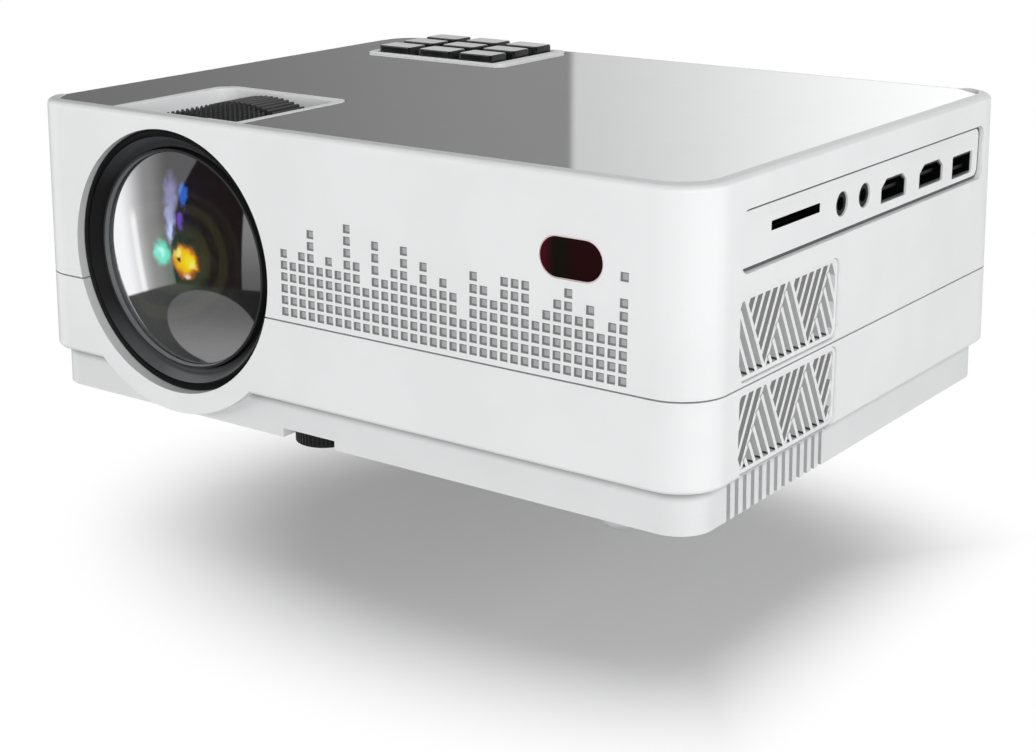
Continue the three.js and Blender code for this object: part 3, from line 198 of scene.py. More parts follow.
# In front: a tall light box with a curved edge and a bright streak, and a narrow box.
box_side = -47.9
box_foot = -15
box_bend = 13
box_curve = 0.048
box_blur = 0.15
box_rise = (height - box_foot).math("MINIMUM", box_bend)
box_edge = box_side + box_rise * box_rise * box_curve
on_box = (box_edge - bearing).between(-box_blur, box_blur)
box_light = bearing.between(-55.5, -50.5).mixed(grey(1.25), grey(0.33))
box_light = bearing.between(-51, -47).mixed(box_light, grey(0.13))
streak = bearing.between(-53.9, -53.2) * (0 - bearing).between(52.3, 53)
box_light = (streak * (0 - height).between(9.5, 11)).mixed(box_light, grey(1.2))
narrow_side = -34.9
narrow_lean = 0.213
narrow_blur = 0.12
narrow = (bearing - narrow_side - height * narrow_lean).between(-narrow_blur, narrow_blur)
narrow = narrow * (0 - bearing).between(-8, -4)
narrow_light = height.between(-16, -10).mixed(grey(0.13), grey(0.26))
dark_room = (0.006, 0.0012, 0.002, 1)
front_wall = on_box.mixed(narrow.mixed(dark_room, narrow_light), box_light)

# Below them: a dark table with a grey oval tray. The table's edge drops beyond its bend.
oval_middle = (-44.0, -19.6)
oval_reach = (6.6, 3.3)
oval_across = (bearing - oval_middle[0]) / oval_reach[0]
oval_rise = (height - oval_middle[1]) / oval_reach[1]
off_oval = (oval_across * oval_across + oval_rise * oval_rise).between(0.96, 1.04)
oval_light = height.between(-22.5, -17.5).mixed(grey(0.30), grey(0.14))
table_light = bearing.between(-56, -38).mixed(grey(0.075), grey(0.012))
table = off_oval.mixed(oval_light, table_light)
table_level = -15.9
table_bend = -48
table_slope = 0.18
table_blur = 0.12
table_edge = table_level + (bearing - table_bend).math("MINIMUM", 0) * table_slope
low_wall = (height - table_edge).between(-table_blur, table_blur).mixed(table, front_wall)

fill_level = 0.35
room = (0 - north).between(-0.1, 0.1).mixed(ceiling, low_wall)
picture = ray_is(air, "Is Glossy Ray", "Is Transmission Ray").mixed(grey(fill_level), room)
picture = ray_is(air, "Is Camera Ray").mixed(picture, grey(1.0))
air.node("ShaderNodeBackground", {"Color": picture, "Strength": 1.0}).into("ShaderNodeOutputWorld")


case_middle = Vector((0, 0, 50 * MM))


def soft_box(name, place, size, power):
    """An area lamp that faces the middle of the case."""
    data = bpy.data.lights.new(name, "AREA")
    data.shape = "RECTANGLE"
    data.size, data.size_y = size
    data.energy = power
    lamp = bpy.data.objects.new(name, data)
    bpy.context.scene.collection.objects.link(lamp)
    aim = (case_middle - Vector(place)).to_track_quat("-Z", "Y")
    lamp.matrix_world = Matrix.Translation(place) @ aim.to_matrix().to_4x4()
    lamp.visible_glossy = False


soft_box("overhead_box", (0, 0, 1.0), (1.0, 1.0), 3.3)
soft_box("key_box", (1.17, -1.22, 0.28), (0.9, 0.5), 15.5)
soft_box("left_box", (-1.5, -0.9, 0.12), (1.0, 0.3), 12.0)
soft_box("side_box", (1.6, 0.1, 0.5), (1.2, 0.9), 6.4)

# The floor is grey near the case, where it takes the shadow, and the camera sees white beyond.
floor_drop = 45 * MM
floor_reach = 4.0
floor_bounce = 0.60
floor_seen = 0.88
shadow_middle = (22 * MM, -10 * MM)
shadow_reach = (115 * MM, 84 * MM)
shadow_fade = (0.7, 1.55)
shadow_end = (90 * MM, 140 * MM)

floor_mesh = bpy.data.meshes.new("floor")
square = ((-1, -1), (1, -1), (1, 1), (-1, 1))
floor_points = [(x * floor_reach, y * floor_reach, -floor_drop) for x, y in square]
floor_mesh.from_pydata(floor_points, [], [(0, 1, 2, 3)])
floor = bpy.data.objects.new("floor", floor_mesh)
bpy.context.scene.collection.objects.link(floor)
floor.visible_glossy = False
floor_paint, ground = blank_material("floor_paint")
camera_sees = ray_is(ground, "Is Camera Ray")
floor_tone = camera_sees.mixed(grey(floor_bounce), grey(floor_seen))
matte = ground.node("ShaderNodeBsdfDiffuse", {"Color": floor_tone})
white = ground.node("ShaderNodeEmission", {"Color": grey(1), "Strength": 1.0})
across, along, _ = ground.place().parts()
side = (across - shadow_middle[0]) / shadow_reach[0]
front = (along - shadow_middle[1]) / shadow_reach[1]
beyond = (side * side + front * front).math("SQRT").between(*shadow_fade)
far = beyond.math("MAXIMUM", across.between(*shadow_end)) * camera_sees
ground.node("ShaderNodeMixShader", {0: far, 1: matte, 2: white}).into("ShaderNodeOutputMaterial")
floor.data.materials.append(floor_paint)


# Upper case
# Moulded in satin white ABS: a box with leaning walls, round corners, a rounded top edge and a
# sunk roof. Its openings are cut for the lens, rings, keypad, window, sockets and upper vents.
wall_draft = 0.0195
corner_radius = 13.0 * MM
corner_steps = 16
seam_height = 38.7 * MM
seam_gap = 0.3 * MM
plinth_top = 15.6 * MM
body_half_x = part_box("top_shell")[1].x + wall_draft * seam_gap
body_half_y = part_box("top_shell")[1].y + wall_draft * seam_gap
roof_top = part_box("top_shell")[1].z
roof_thickness = 3.4 * MM
wall_thickness = 2.2 * MM
rim_rounding = 1.6 * MM
rim_steps = 10
rim_width = 4.3 * MM
rim_narrow = 0.3 * MM
panel_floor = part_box("top_panel")[0].z - 0.2 * MM
overrun = 5 * MM
fit_gap = 0.2 * MM
lens_x = -58.5 * MM
lens_z = 48.6 * MM
lens_axis = (lens_x, lens_z)
opening_radius = 37.8 * MM
lip_thickness = 1.8 * MM
lip_depth = 8.4 * MM
front_face = -87.7 * MM
grain_depth = 0.2 * MM


def principled(made, sockets):
    """Ends a material with a Principled surface, set by the names of its sockets."""
    surface = Signal(made.node_tree).node("ShaderNodeBsdfPrincipled", sockets)
    surface.into("ShaderNodeOutputMaterial")
    return made


def plastic(
    name, colour, roughness=0.3, grain=0.02, grain_scale=2600, tint=0.03, specular=0.5, band=None
):
    """Moulded plastic: a faint cloud in colour and gloss, a fine grain, and a band of painted shade
    by height.
    """
    made, start = blank_material(name)
    place = start.place()
    cloud = start.node("ShaderNodeTexNoise", {"Vector": place, "Scale": 35.0, "Detail": 3.0})
    fine = start.node("ShaderNodeTexNoise", {"Vector": place, "Scale": grain_scale, "Detail": 2.0})
    darker = [c * (1 - tint) for c in colour]
    paint = cloud.between(0.35, 0.65).mixed((*darker, 1), (*colour, 1))
    # The band is painted shade: darker between two heights.
    if band:
        low, high, dark = band
        paint = place.parts()[2].between(low, high).mixed(paint, (*dark, 1))
    bump = {"Strength": grain, "Distance": grain_depth, "Height": fine}
    return principled(made, {
        "Base Color": paint,
        "Roughness": roughness + (cloud - 0.5) * 0.06,
        "Specular IOR Level": specular,
        "Normal": start.node("ShaderNodeBump", bump),
    })


white_colour = (0.80, 0.805, 0.81)
# Painted shade along the rounded top edge: the white darkens towards the roof.
rim_painted_shade_band = (roof_top - 1.4 * MM, roof_top - 0.3 * MM, (0.64, 0.645, 0.65))
white_plastic = plastic("white_plastic", white_colour, roughness=0.34)
upper_plastic_rim_shade = plastic("upper_plastic_rim_shade", white_colour, roughness=0.34, band=rim_painted_shade_band)
# Painted shade: the bore of the lens opening is grey, though it is the same white moulding.
lip_shade_plastic = plastic("lip_shade_plastic", (0.60, 0.605, 0.61), roughness=0.4)


def new_piece(name, points, faces, material=None):
    """An object from points and faces, with its faces turned outwards."""
    mesh = bpy.data.meshes.new(name)
    mesh.from_pydata(points, [], faces)
    shape = bmesh.new()
    shape.from_mesh(mesh)
    bmesh.ops.remove_doubles(shape, verts=shape.verts, dist=1e-7)
    bare = [edge for edge in shape.edges if not edge.link_faces]
    bmesh.ops.delete(shape, geom=bare, context="EDGES")
    bmesh.ops.recalc_face_normals(shape, faces=shape.faces)
    shape.to_mesh(mesh)
    shape.free()
    piece = bpy.data.objects.new(name, mesh)
    bpy.context.scene.collection.objects.link(piece)
    if material:
        mesh.materials.append(material)
    return piece


def stack(name, loops, material=None, closed=False):
    """A solid whose skin runs through loops of points, with a face on each end or as a ring."""
    count = len(loops[0])
    points = [point for loop in loops for point in loop]
    pairs = list(zip(range(len(loops)), range(1, len(loops))))
    if closed:
        pairs.append((len(loops) - 1, 0))
    faces = []
    for low, high in pairs:
        for i in range(count):
            j = (i + 1) % count
            faces.append((low * count + i, low * count + j, high * count + j, high * count + i))
    if not closed:
        faces.append(tuple(reversed(range(count))))
        faces.append(tuple(range(len(points) - count, len(points))))
    return new_piece(name, points, faces, material)


def around(middle, size):
    return middle - size / 2, middle + size / 2


def grown(span, by):
    return span[0] - by, span[1] + by


def rounded(u, v, radius, steps=corner_steps):
    """Points round a rectangle between two values each way, with round corners."""
    points = []
    corners = ((u[1], v[1], -1, -1), (u[0], v[1], 1, -1), (u[0], v[0], 1, 1), (u[1], v[0], -1, 1))
    for quarter, (cu, cv, sign_u, sign_v) in enumerate(corners):
        for step in range(steps + 1):
            angle = (quarter + step / steps) * math.pi / 2
            points.append((
                cu + sign_u * radius + radius * math.cos(angle),
                cv + sign_v * radius + radius * math.sin(angle),
            ))
    return points


def circle(centre, radius, steps=128):
    turns = [2 * math.pi * step / steps for step in range(steps)]
    return [(centre[0] + radius * math.cos(t), centre[1] + radius * math.sin(t)) for t in turns]


ALONG = {
    "X": lambda u, v, w: (w, u, v),
    "Y": lambda u, v, w: (u, w, v),
    "Z": lambda u, v, w: (u, v, w),
}


def bar(name, axis, outline, span, material=None):
    """An outline drawn out along an axis: (y, z) along X, (x, z) along Y and (x, y) along Z."""
    place = ALONG[axis]
    return stack(name, [[place(u, v, w) for u, v in outline] for w in span], material)


def block(name, x, y, z, material=None):
    corners = [(x[0], y[0]), (x[1], y[0]), (x[1], y[1]), (x[0], y[1])]
    return bar(name, "Z", corners, z, material)


def extents(node):
    """The spans of a CAD piece along X, Y and Z."""
    low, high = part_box(node)
    return [(low[axis], high[axis]) for axis in range(3)]


def case_section(z, inset=0.0):
    """The case's outline at a height: z, its half sizes and its corner radius."""
    lean = wall_draft * (z - seam_height) + inset
    return z, body_half_x - lean, body_half_y - lean, corner_radius - inset


def lofted(name, sections, material=None):
    """A solid through a stack of the case's outlines."""
    loops = []
    for z, half_x, half_y, radius in sections:
        outline = rounded((-half_x, half_x), (-half_y, half_y), radius)
        loops.append([(x, y, z) for x, y in outline])
    return stack(name, loops, material)


def settle(piece):
    """Turns a piece's modifiers into its mesh."""
    view = bpy.context.evaluated_depsgraph_get()
    mesh = bpy.data.meshes.new_from_object(piece.evaluated_get(view))
    mesh.name = piece.name
    piece.modifiers.clear()
    piece.data = mesh


def carve(piece, *cutters, operation="DIFFERENCE"):
    """Cuts other pieces from a piece, joins them to it, or keeps what they share."""
    for cutter in cutters:
        step = piece.modifiers.new("carve", "BOOLEAN")
        step.operation = operation
        step.solver = "MANIFOLD"
        step.material_mode = "TRANSFER" if cutter.data.materials else "INDEX"
        step.object = cutter
        cutter.hide_render = True
    settle(piece)
    for cutter in cutters:
        bpy.data.objects.remove(cutter)


def rounded_top():
    """The sections of the rounded top edge."""
    sections = []
    for step in range(rim_steps + 1):
        angle = step / rim_steps * math.pi / 2
        drop = rim_rounding * (1 - math.sin(angle))
        sections.append(case_section(roof_top - drop, rim_rounding * (1 - math.cos(angle))))
    return sections


def case_form():
    """The outer form above the plinth, which trims what is added to the walls."""
    return lofted("form", [case_section(plinth_top), case_section(seam_height), *rounded_top()])


lip_span = (front_face - overrun, front_face + lip_depth)
opening_span = (front_face - overrun, front_face + lip_depth + overrun)
window_wall = (body_half_x - wall_thickness - 3 * overrun / 2, body_half_x + overrun)
everywhere = (-1, 1)


def lens_lip(low, high):
    """The short tube behind the lens opening, between two heights."""
    outer = circle(lens_axis, opening_radius + lip_thickness)
    bore = circle(lens_axis, opening_radius - MM)
    lip = bar("lip", "Y", outer, lip_span, white_plastic)
    carve(lip, bar("bore", "Y", bore, grown(lip_span, overrun), white_plastic))
    slab = block("slab", everywhere, everywhere, (low, high))
    carve(lip, case_form(), slab, operation="INTERSECT")
    return lip


def lens_opening():
    return bar("opening", "Y", circle(lens_axis, opening_radius, 192), opening_span, lip_shade_plastic)


recess_y = around(2 * MM, 140.6 * MM)
recess_z = around(74.3 * MM, 15.6 * MM)
recess_corner = 3 * MM
recess_outline = rounded(recess_y, recess_z, recess_corner, 8)
ir_middle = (78.5 * MM, 69.4 * MM)
ir_size = (18.8 * MM, 10.7 * MM)
ir_flat = 0.01 * MM
tray_x = around(-60.9 * MM, 47.6 * MM)
tray_y = (-79.8 * MM, -34.8 * MM)
tray_wall = 1.2 * MM
keypad_x = -69.4 * MM
keypad_y = 64.2 * MM
bezel_x = around(keypad_x + 0.7 * MM, 56.6 * MM)
bezel_y = around(keypad_y + 0.4 * MM, 39.4 * MM)
bezel_corner = 3.6 * MM
well_x = around(keypad_x, 50.2 * MM)
well_y = around(keypad_y, 35.7 * MM)
sunk_corner = 11 * MM
vent_length = 51.4 * MM
vent_corner = 3 * MM
upper_vent = (39.7 * MM, 61.3 * MM)
vent_sides = {1: -43.4 * MM, -1: 41.0 * MM}
column_places = [(x * 105.5 * MM, y * 76 * MM) for x in (-1, 1) for y in (-1, 1)]
column_radius = 4 * MM
bore_radius = 1.7 * MM
bore_top = 50 * MM
board_post_radius = 2.5 * MM
board_post_bottom = 69.1 * MM
board_post_insets = (7 * MM, 25 * MM)
board_post_spread = 61 * MM


def window_outline(inset=0.0):
    """The outline of the infrared window, a bar with round ends."""
    x = around(ir_middle[0], ir_size[0] - 2 * inset)
    z = around(ir_middle[1], ir_size[1] - 2 * inset)
    return rounded(x, z, ir_size[1] / 2 - inset - ir_flat, 20)


def bezel_outline(inset=0.0):
    return rounded(grown(bezel_x, -inset), grown(bezel_y, -inset), bezel_corner - inset, 12)


def vent_outline(side, heights, inset=0.0):
    ends = around(vent_sides[side], vent_length - 2 * inset)
    return rounded(ends, grown(heights, -inset), vent_corner - inset, 8)


def vent_window(side, heights):
    reach = window_wall if side > 0 else (-window_wall[1], -window_wall[0])
    return bar("window", "X", vent_outline(side, heights), reach, white_plastic)


def sunk_outline(inset=0.0):
    """The sunk part of the roof: its rim is wide at the front and right and narrow elsewhere."""
    _, half_x, half_y, _ = case_section(roof_top)
    span_x = (inset + rim_narrow - half_x, half_x - rim_width - inset)
    span_y = (inset + rim_width - half_y, half_y - rim_narrow - inset)
    return rounded(span_x, span_y, sunk_corner - inset)


seam_section = case_section(seam_height + seam_gap)
top_shell = lofted("upper_case", [seam_section, *rounded_top()], upper_plastic_rim_shade)
roof_underside = roof_top - roof_thickness
roof_reach = (roof_underside - overrun, roof_top + overrun)
sunk_reach = (panel_floor, roof_top + overrun)
carve(top_shell, lofted("hollow", [
    case_section(seam_height - overrun, wall_thickness),
    case_section(roof_underside, wall_thickness),
], white_plastic))
column_reach = (seam_height + seam_gap, roof_underside + fit_gap)
columns = [
    bar("column", "Z", circle(place, column_radius, 32), column_reach) for place in column_places
]
board_x, board_y, _ = extents("main_board")
board_post_reach = (board_post_bottom, roof_underside + fit_gap)
posts = []
for x in board_post_insets:
    for y in around(sum(board_y) / 2, 2 * board_post_spread):
        post = circle((board_x[0] + x, y), board_post_radius, 24)
        posts.append(bar("post", "Z", post, board_post_reach))
lip = lens_lip(seam_height + seam_gap, roof_top - rim_rounding)
carve(top_shell, lip, *columns, *posts, operation="UNION")
carve(
    top_shell,
    bar("recess", "Z", sunk_outline(), sunk_reach, white_plastic),
    block(
        "tray_hole",
        grown(tray_x, fit_gap),
        (tray_y[0], tray_y[1] + fit_gap),
        roof_reach,
        white_plastic,
    ),
    block(
        "well_hole",
        grown(well_x, tray_wall + fit_gap),
        grown(well_y, tray_wall + fit_gap),
        roof_reach,
        white_plastic,
    ),
    bar("bezel_seat", "Z", bezel_outline(), sunk_reach, white_plastic),
    lens_opening(),
    bar("window_hole", "Y", window_outline(), around(front_face, 2 * overrun), white_plastic),
    bar("socket_hole", "X", recess_outline, window_wall, white_plastic),
    *(vent_window(side, upper_vent) for side in vent_sides),
    *(
        bar("bore", "Z", circle(place, bore_radius, 24), (seam_height, bore_top))
        for place in column_places
    ),
)


# Front dimples
# Columns of small square pits moulded into the front wall, all from one base line and of
# different heights. Each is a cut-off pyramid with painted shade: dark grey on its walls and a
# lighter grey on its floor.
dimple_pitch = 3.183 * MM
dimple_row_pitch = 3.2 * MM
dimple_width = 2.4 * MM
dimple_floor = 1.5 * MM
dimple_depth = 0.5 * MM
dimple_overlap = 0.05 * MM
first_column = -14.39 * MM
first_row = 41.7 * MM
column_heights = [
    6, 5, 6, 8, 5, 6, 5, 9, 6, 4, 8, 5, 6, 8, 5, 7, 5, 6,
    5, 3, 7, 6, 5, 7, 7, 7, 4, 5, 6, 7, 5, 6, 4, 5, 7,
]
lone_dimple = (len(column_heights) - 1, 8)
edge_width = 0.28 * MM
edge_angle = math.radians(32)
flat_angle = math.radians(0.4)
weld_distance = 2e-6


def smooth(piece, sharp=30):
    """Shades a piece smooth, with a hard line at edges over an angle in degrees."""
    piece.data.shade_smooth()
    piece.data.set_sharp_from_angle(angle=math.radians(sharp))


def soften(piece, width=edge_width, kept=()):
    """Joins flat faces and rounds the edges a little, but not those of faces in a kept material."""
    shape = bmesh.new()
    shape.from_mesh(piece.data)
    bmesh.ops.remove_doubles(shape, verts=shape.verts, dist=weld_distance)
    bmesh.ops.dissolve_limit(
        shape, angle_limit=flat_angle, verts=shape.verts, edges=shape.edges, delimit={"MATERIAL"}
    )
    weight = shape.edges.layers.float.new("bevel_weight_edge")
    materials = list(piece.data.materials) or [None]
    for edge in shape.edges:
        sharp = len(edge.link_faces) == 2 and edge.calc_face_angle() > edge_angle
        marked = any(materials[face.material_index] in kept for face in edge.link_faces)
        edge[weight] = float(sharp and not marked)
    shape.to_mesh(piece.data)
    shape.free()
    bevel = piece.modifiers.new("edge", "BEVEL")
    bevel.width = width
    bevel.segments = 2
    bevel.limit_method = "WEIGHT"
    smooth(piece, 50 if kept else 180)
    weighted = piece.modifiers.new("flat", "WEIGHTED_NORMAL")
    weighted.keep_sharp = True
    weighted.weight = 60
    settle(piece)


def two_tone(piece, main, second, chosen):
    """Paints the faces that pass a test in a second material, and all others in the main one."""
    piece.data.materials.clear()
    piece.data.materials.append(main)
    piece.data.materials.append(second)
    for face in piece.data.polygons:
        face.material_index = int(chosen(face))


def dress(piece, body, slot, *nodes):
    """The piece rides on a body and stands for these nodes; the slot is not used."""
    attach(piece, body)
    if nodes:
        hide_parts(*nodes)


def growth(name, **sizes):
    """An empty Geometry Nodes tree, and its inputs by name with their usual values."""
    tree = bpy.data.node_groups.new(name, "GeometryNodeTree")
    tree.interface.new_socket("Geometry", in_out="INPUT", socket_type="NodeSocketGeometry")
    tree.interface.new_socket("Geometry", in_out="OUTPUT", socket_type="NodeSocketGeometry")
    for label, value in sizes.items():
        kind = "NodeSocketInt" if isinstance(value, int) else "NodeSocketFloat"
        tree.interface.new_socket(label, in_out="INPUT", socket_type=kind).default_value = value
    entry = tree.nodes.new("NodeGroupInput")
    labels = ("Geometry", *sizes)
    return Signal(tree), {label: Signal(tree, entry.outputs[label]) for label in labels}


def copied(points, shape, **changes):
    """Copies of a shape on points, with their Rotation or Scale."""
    sockets = {"Points": points, "Instance": shape, **changes}
    return shape.node("GeometryNodeInstanceOnPoints", sockets)


def grow(piece, geometry, material, **sizes):
    """Ends the tree with real, painted copies, runs it on the piece and keeps its mesh."""
    tree = geometry.tree
    real = geometry.node("GeometryNodeRealizeInstances", {"Geometry": geometry})
    painted = real.node("GeometryNodeSetMaterial", {"Geometry": real, "Material": material})
    painted.into("NodeGroupOutput", "Geometry")
    step = piece.modifiers.new(tree.name, "NODES")
    step.node_group = tree
    for item in tree.interface.items_tree:
        if item.in_out == "INPUT" and item.name in sizes:
            step[item.identifier] = sizes[item.name]
    settle(piece)
    return piece


# Painted shade inside the pits: grey walls and a lighter grey floor in the white wall.
pit_wall_painted_shade = plastic("dimple_wall_painted_shade", (0.20, 0.203, 0.207), roughness=0.6)
pit_floor_painted_shade = plastic("dimple_floor", (0.42, 0.425, 0.43), roughness=0.5)

cells = [(column, row) for column, height in enumerate(column_heights) for row in range(height)]
dimple_places = []
for column, row in [*cells, lone_dimple]:
    z = first_row + row * dimple_row_pitch
    mouth_y = -case_section(z)[2] - dimple_overlap
    dimple_places.append((first_column + column * dimple_pitch, mouth_y, z))
dimples = new_piece("dimples", dimple_places, [])
start, sizes = growth("dimples", Width=0.002, Floor=0.001, Depth=0.0005)
pyramid = start.node("GeometryNodeMeshCone", {
    "Vertices": 4,
    "Radius Bottom": sizes["Width"] * math.sqrt(0.5),
    "Radius Top": sizes["Floor"] * math.sqrt(0.5),
    "Depth": sizes["Depth"],
}, {"fill_type": "NGON"})
pits = copied(sizes["Geometry"], pyramid, Rotation=(-math.pi / 2, math.pi / 4, 0))
grow(dimples, pits, pit_wall_painted_shade, Width=dimple_width, Floor=dimple_floor, Depth=dimple_depth)
two_tone(dimples, pit_wall_painted_shade, pit_floor_painted_shade, lambda face: face.normal.y > 0.9)
carve(top_shell, dimples)
soften(top_shell, kept=(pit_wall_painted_shade, pit_floor_painted_shade))
dress(top_shell, "case", "white_plastic", "top_shell")


# Lower case
# The same satin white ABS, from the seam down to a plinth that is set back, with a collar that
# carries the lens opening down to it. Screws from below hold it to the upper case.
plinth_bottom, lower_top = extents("bottom_shell")[2]
rear_face = -front_face
lower_vent = (16.1 * MM, 37.7 * MM)
plinth_inset = 3.4 * MM
plinth_lap = 2 * MM
floor_top = plinth_bottom + 2.4 * MM
lower_rounding = 1.2 * MM
lower_steps = 5
collar_radius = 43.8 * MM
lower_column_radius = 4.2 * MM
groove_count = 13
groove_pitch = 4 * MM
groove_width = 1.8 * MM
groove_depth = 0.9 * MM
wheel_x = -12.4 * MM
wheel_y = -75.5 * MM
wheel_place = (wheel_x, wheel_y)
wheel_slot = (-19.6 * MM, -0.8 * MM)
wheel_well_roof = plinth_bottom + 2.6 * MM
wheel_room = 8.7 * MM
hub_room = 5.3 * MM
hub_room_roof = wheel_well_roof + 4.3 * MM
stem_room = 2.8 * MM
housing_half = 10.7 * MM
housing_front = -82.2 * MM
housing_roof = wheel_well_roof + 6 * MM
counterbore_radius = 3.2 * MM
counterbore_top = 19 * MM
inlet_middle = (62 * MM, 28 * MM)
inlet_size = (21 * MM, 12.5 * MM)
inlet_corner = 3.1 * MM

# Painted shade: the set-back plinth is a little darker than the walls, with a dark painted shadow
# just under the wall's lower edge.
plinth_shadow_band = (plinth_top - 3.3 * MM, plinth_top + 0.3 * MM, (0.14, 0.142, 0.145))
plinth_shaded_plastic = plastic("plinth_shaded_plastic", (0.74, 0.745, 0.75), roughness=0.4, band=plinth_shadow_band)
# Painted shade: the faces of the plinth's grooves are grey.
flute_shade_plastic = plastic("flute_shade_plastic", (0.46, 0.465, 0.47), roughness=0.5)


def lower_edge():
    """The sections of the round lower edge of the wall, just above the plinth."""
    sections = []
    for step in range(lower_steps + 1):
        angle = step / lower_steps * math.pi / 2
        rise = lower_rounding * (1 - math.cos(angle))
        sections.append(case_section(plinth_top + rise, lower_rounding * (1 - math.sin(angle))))
    return sections


def plinth_section(z, inset=0.0):
    return case_section(z, plinth_inset + inset)


bottom_shell = lofted("lower_case", [*lower_edge(), case_section(lower_top)], white_plastic)
collar_span = (front_face - overrun, front_face + plinth_inset + wall_thickness)
collar = bar("collar", "Y", circle(lens_axis, collar_radius, 192), collar_span, white_plastic)
carve(collar, lofted("form", [
    (plinth_bottom, *case_section(plinth_top)[1:]),
    case_section(plinth_top),
    case_section(lower_top),
]), operation="INTERSECT")
wheel_housing = block(
    "wheel_housing",
    around(wheel_x, 2 * housing_half),
    (housing_front, wheel_y + housing_half),
    (plinth_bottom, housing_roof),
    white_plastic,
)
plinth_sections = [plinth_section(plinth_bottom), plinth_section(plinth_top + plinth_lap)]
carve(bottom_shell, lofted("plinth", plinth_sections, plinth_shaded_plastic), operation="UNION")
carve(
    bottom_shell,
    lofted("cavity", [
        case_section(plinth_top + wall_thickness, wall_thickness),
        case_section(seam_height + overrun, wall_thickness),
    ], white_plastic),
    lofted("plinth_cavity", [
        plinth_section(floor_top, wall_thickness),
        plinth_section(plinth_top + overrun, wall_thickness),
    ], white_plastic),
)
lower_column_reach = (plinth_bottom, lower_top)
carve(
    bottom_shell,
    collar,
    lens_lip(plinth_bottom, lower_top),
    wheel_housing,
    *(
        bar("column", "Z", circle(place, lower_column_radius, 32), lower_column_reach)
        for place in column_places
    ),
    operation="UNION",
)
grooves = []
for side, middle in vent_sides.items():
    face_x = plinth_section(plinth_top)[1]
    groove_span = (face_x - groove_depth, face_x + overrun)
    groove = block(
        "groove",
        groove_span if side > 0 else (-groove_span[1], -groove_span[0]),
        around(middle - (groove_count - 1) / 2 * groove_pitch, groove_width),
        (plinth_bottom - overrun, plinth_top),
    )
    start, sizes = growth("grooves", Count=2, Pitch=0.004)
    step = start.vector(Y=sizes["Pitch"])
    line = start.node("GeometryNodeMeshLine", {"Count": sizes["Count"], "Offset": step})
    row = copied(line, sizes["Geometry"])
    grooves.append(grow(groove, row, flute_shade_plastic, Count=groove_count, Pitch=groove_pitch))
inlet_outline = rounded(
    around(inlet_middle[0], inlet_size[0]), around(inlet_middle[1], inlet_size[1]), inlet_corner, 8
)
inlet_reach = (rear_face - 3 * wall_thickness, rear_face + overrun)
below = plinth_bottom - overrun
carve(
    bottom_shell,
    lens_opening(),
    bar("inlet_hole", "Y", inlet_outline, inlet_reach, white_plastic),
    *(vent_window(side, lower_vent) for side in vent_sides),
    *grooves,
    block("wheel_slot", wheel_slot, (front_face, wheel_y), (below, wheel_well_roof)),
    bar("wheel_room", "Z", circle(wheel_place, wheel_room, 64), (below, wheel_well_roof)),
    bar("hub_room", "Z", circle(wheel_place, hub_room, 48), (below, hub_room_roof)),
    bar("stem_room", "Z", circle(wheel_place, stem_room, 32), (below, seam_height)),
    *(
        bar("counterbore", "Z", circle(place, counterbore_radius, 32), (below, counterbore_top))
        for place in column_places
    ),
    *(
        bar("bore", "Z", circle(place, bore_radius, 24), (plinth_bottom, seam_height + overrun))
        for place in column_places
    ),
)
soften(bottom_shell)
dress(bottom_shell, "case", "white_plastic", "bottom_shell")


# Roof panel
# A sheet of clear acrylic with a mirror-gloss coating on its back, cemented into the sunk roof.
# It is cut out round the ring tray and the keypad.
panel_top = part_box("top_panel")[1].z
panel_span = (panel_floor + fit_gap / 2, panel_top)
rim_front_y = -case_section(roof_top, rim_width)[2]
tray_flange = 1.5 * MM
tray_corner = 5 * MM
tray_pocket_x = grown(tray_x, tray_flange)
tray_pocket_y = (rim_front_y + fit_gap - tray_corner, tray_y[1] + tray_flange)


def tray_outline(inset=0.0):
    return rounded(grown(tray_pocket_x, -inset), grown(tray_pocket_y, -inset), tray_corner, 10)


def mirror_gloss():
    """A coating behind clear acrylic, which mirrors the room, with a faint haze."""
    made, start = blank_material("gloss_panel")
    place = start.place()
    haze = start.node("ShaderNodeTexNoise", {"Vector": place, "Scale": 60.0, "Detail": 4.0})
    paint = haze.between(0.3, 0.7).mixed((0.845, 0.85, 0.855, 1), (0.86, 0.865, 0.87, 1))
    return principled(made, {
        "Base Color": paint,
        "Roughness": 0.03 + haze * 0.015,
        "Metallic": 1.0,
    })


top_panel = bar("roof_panel", "Z", sunk_outline(fit_gap), panel_span, mirror_gloss())
carve(
    top_panel,
    bar("tray_cut", "Z", tray_outline(-fit_gap), roof_reach),
    bar("bezel_cut", "Z", bezel_outline(-fit_gap), roof_reach),
)
soften(top_panel, 0.15 * MM)
dress(top_panel, "case", "gloss_panel", "top_panel")


# Ring tray
# A white tray moulded with a narrow flange that lies on the roof. Its floor is cut through
# where the two rings stand up out of it.
tray_floor = roof_top - 5.1 * MM
ring_radius = 41.3 * MM
ring_room = 0.6 * MM
focus_span = extents("focus_ring")[1]
keystone_span = extents("keystone_ring")[1]

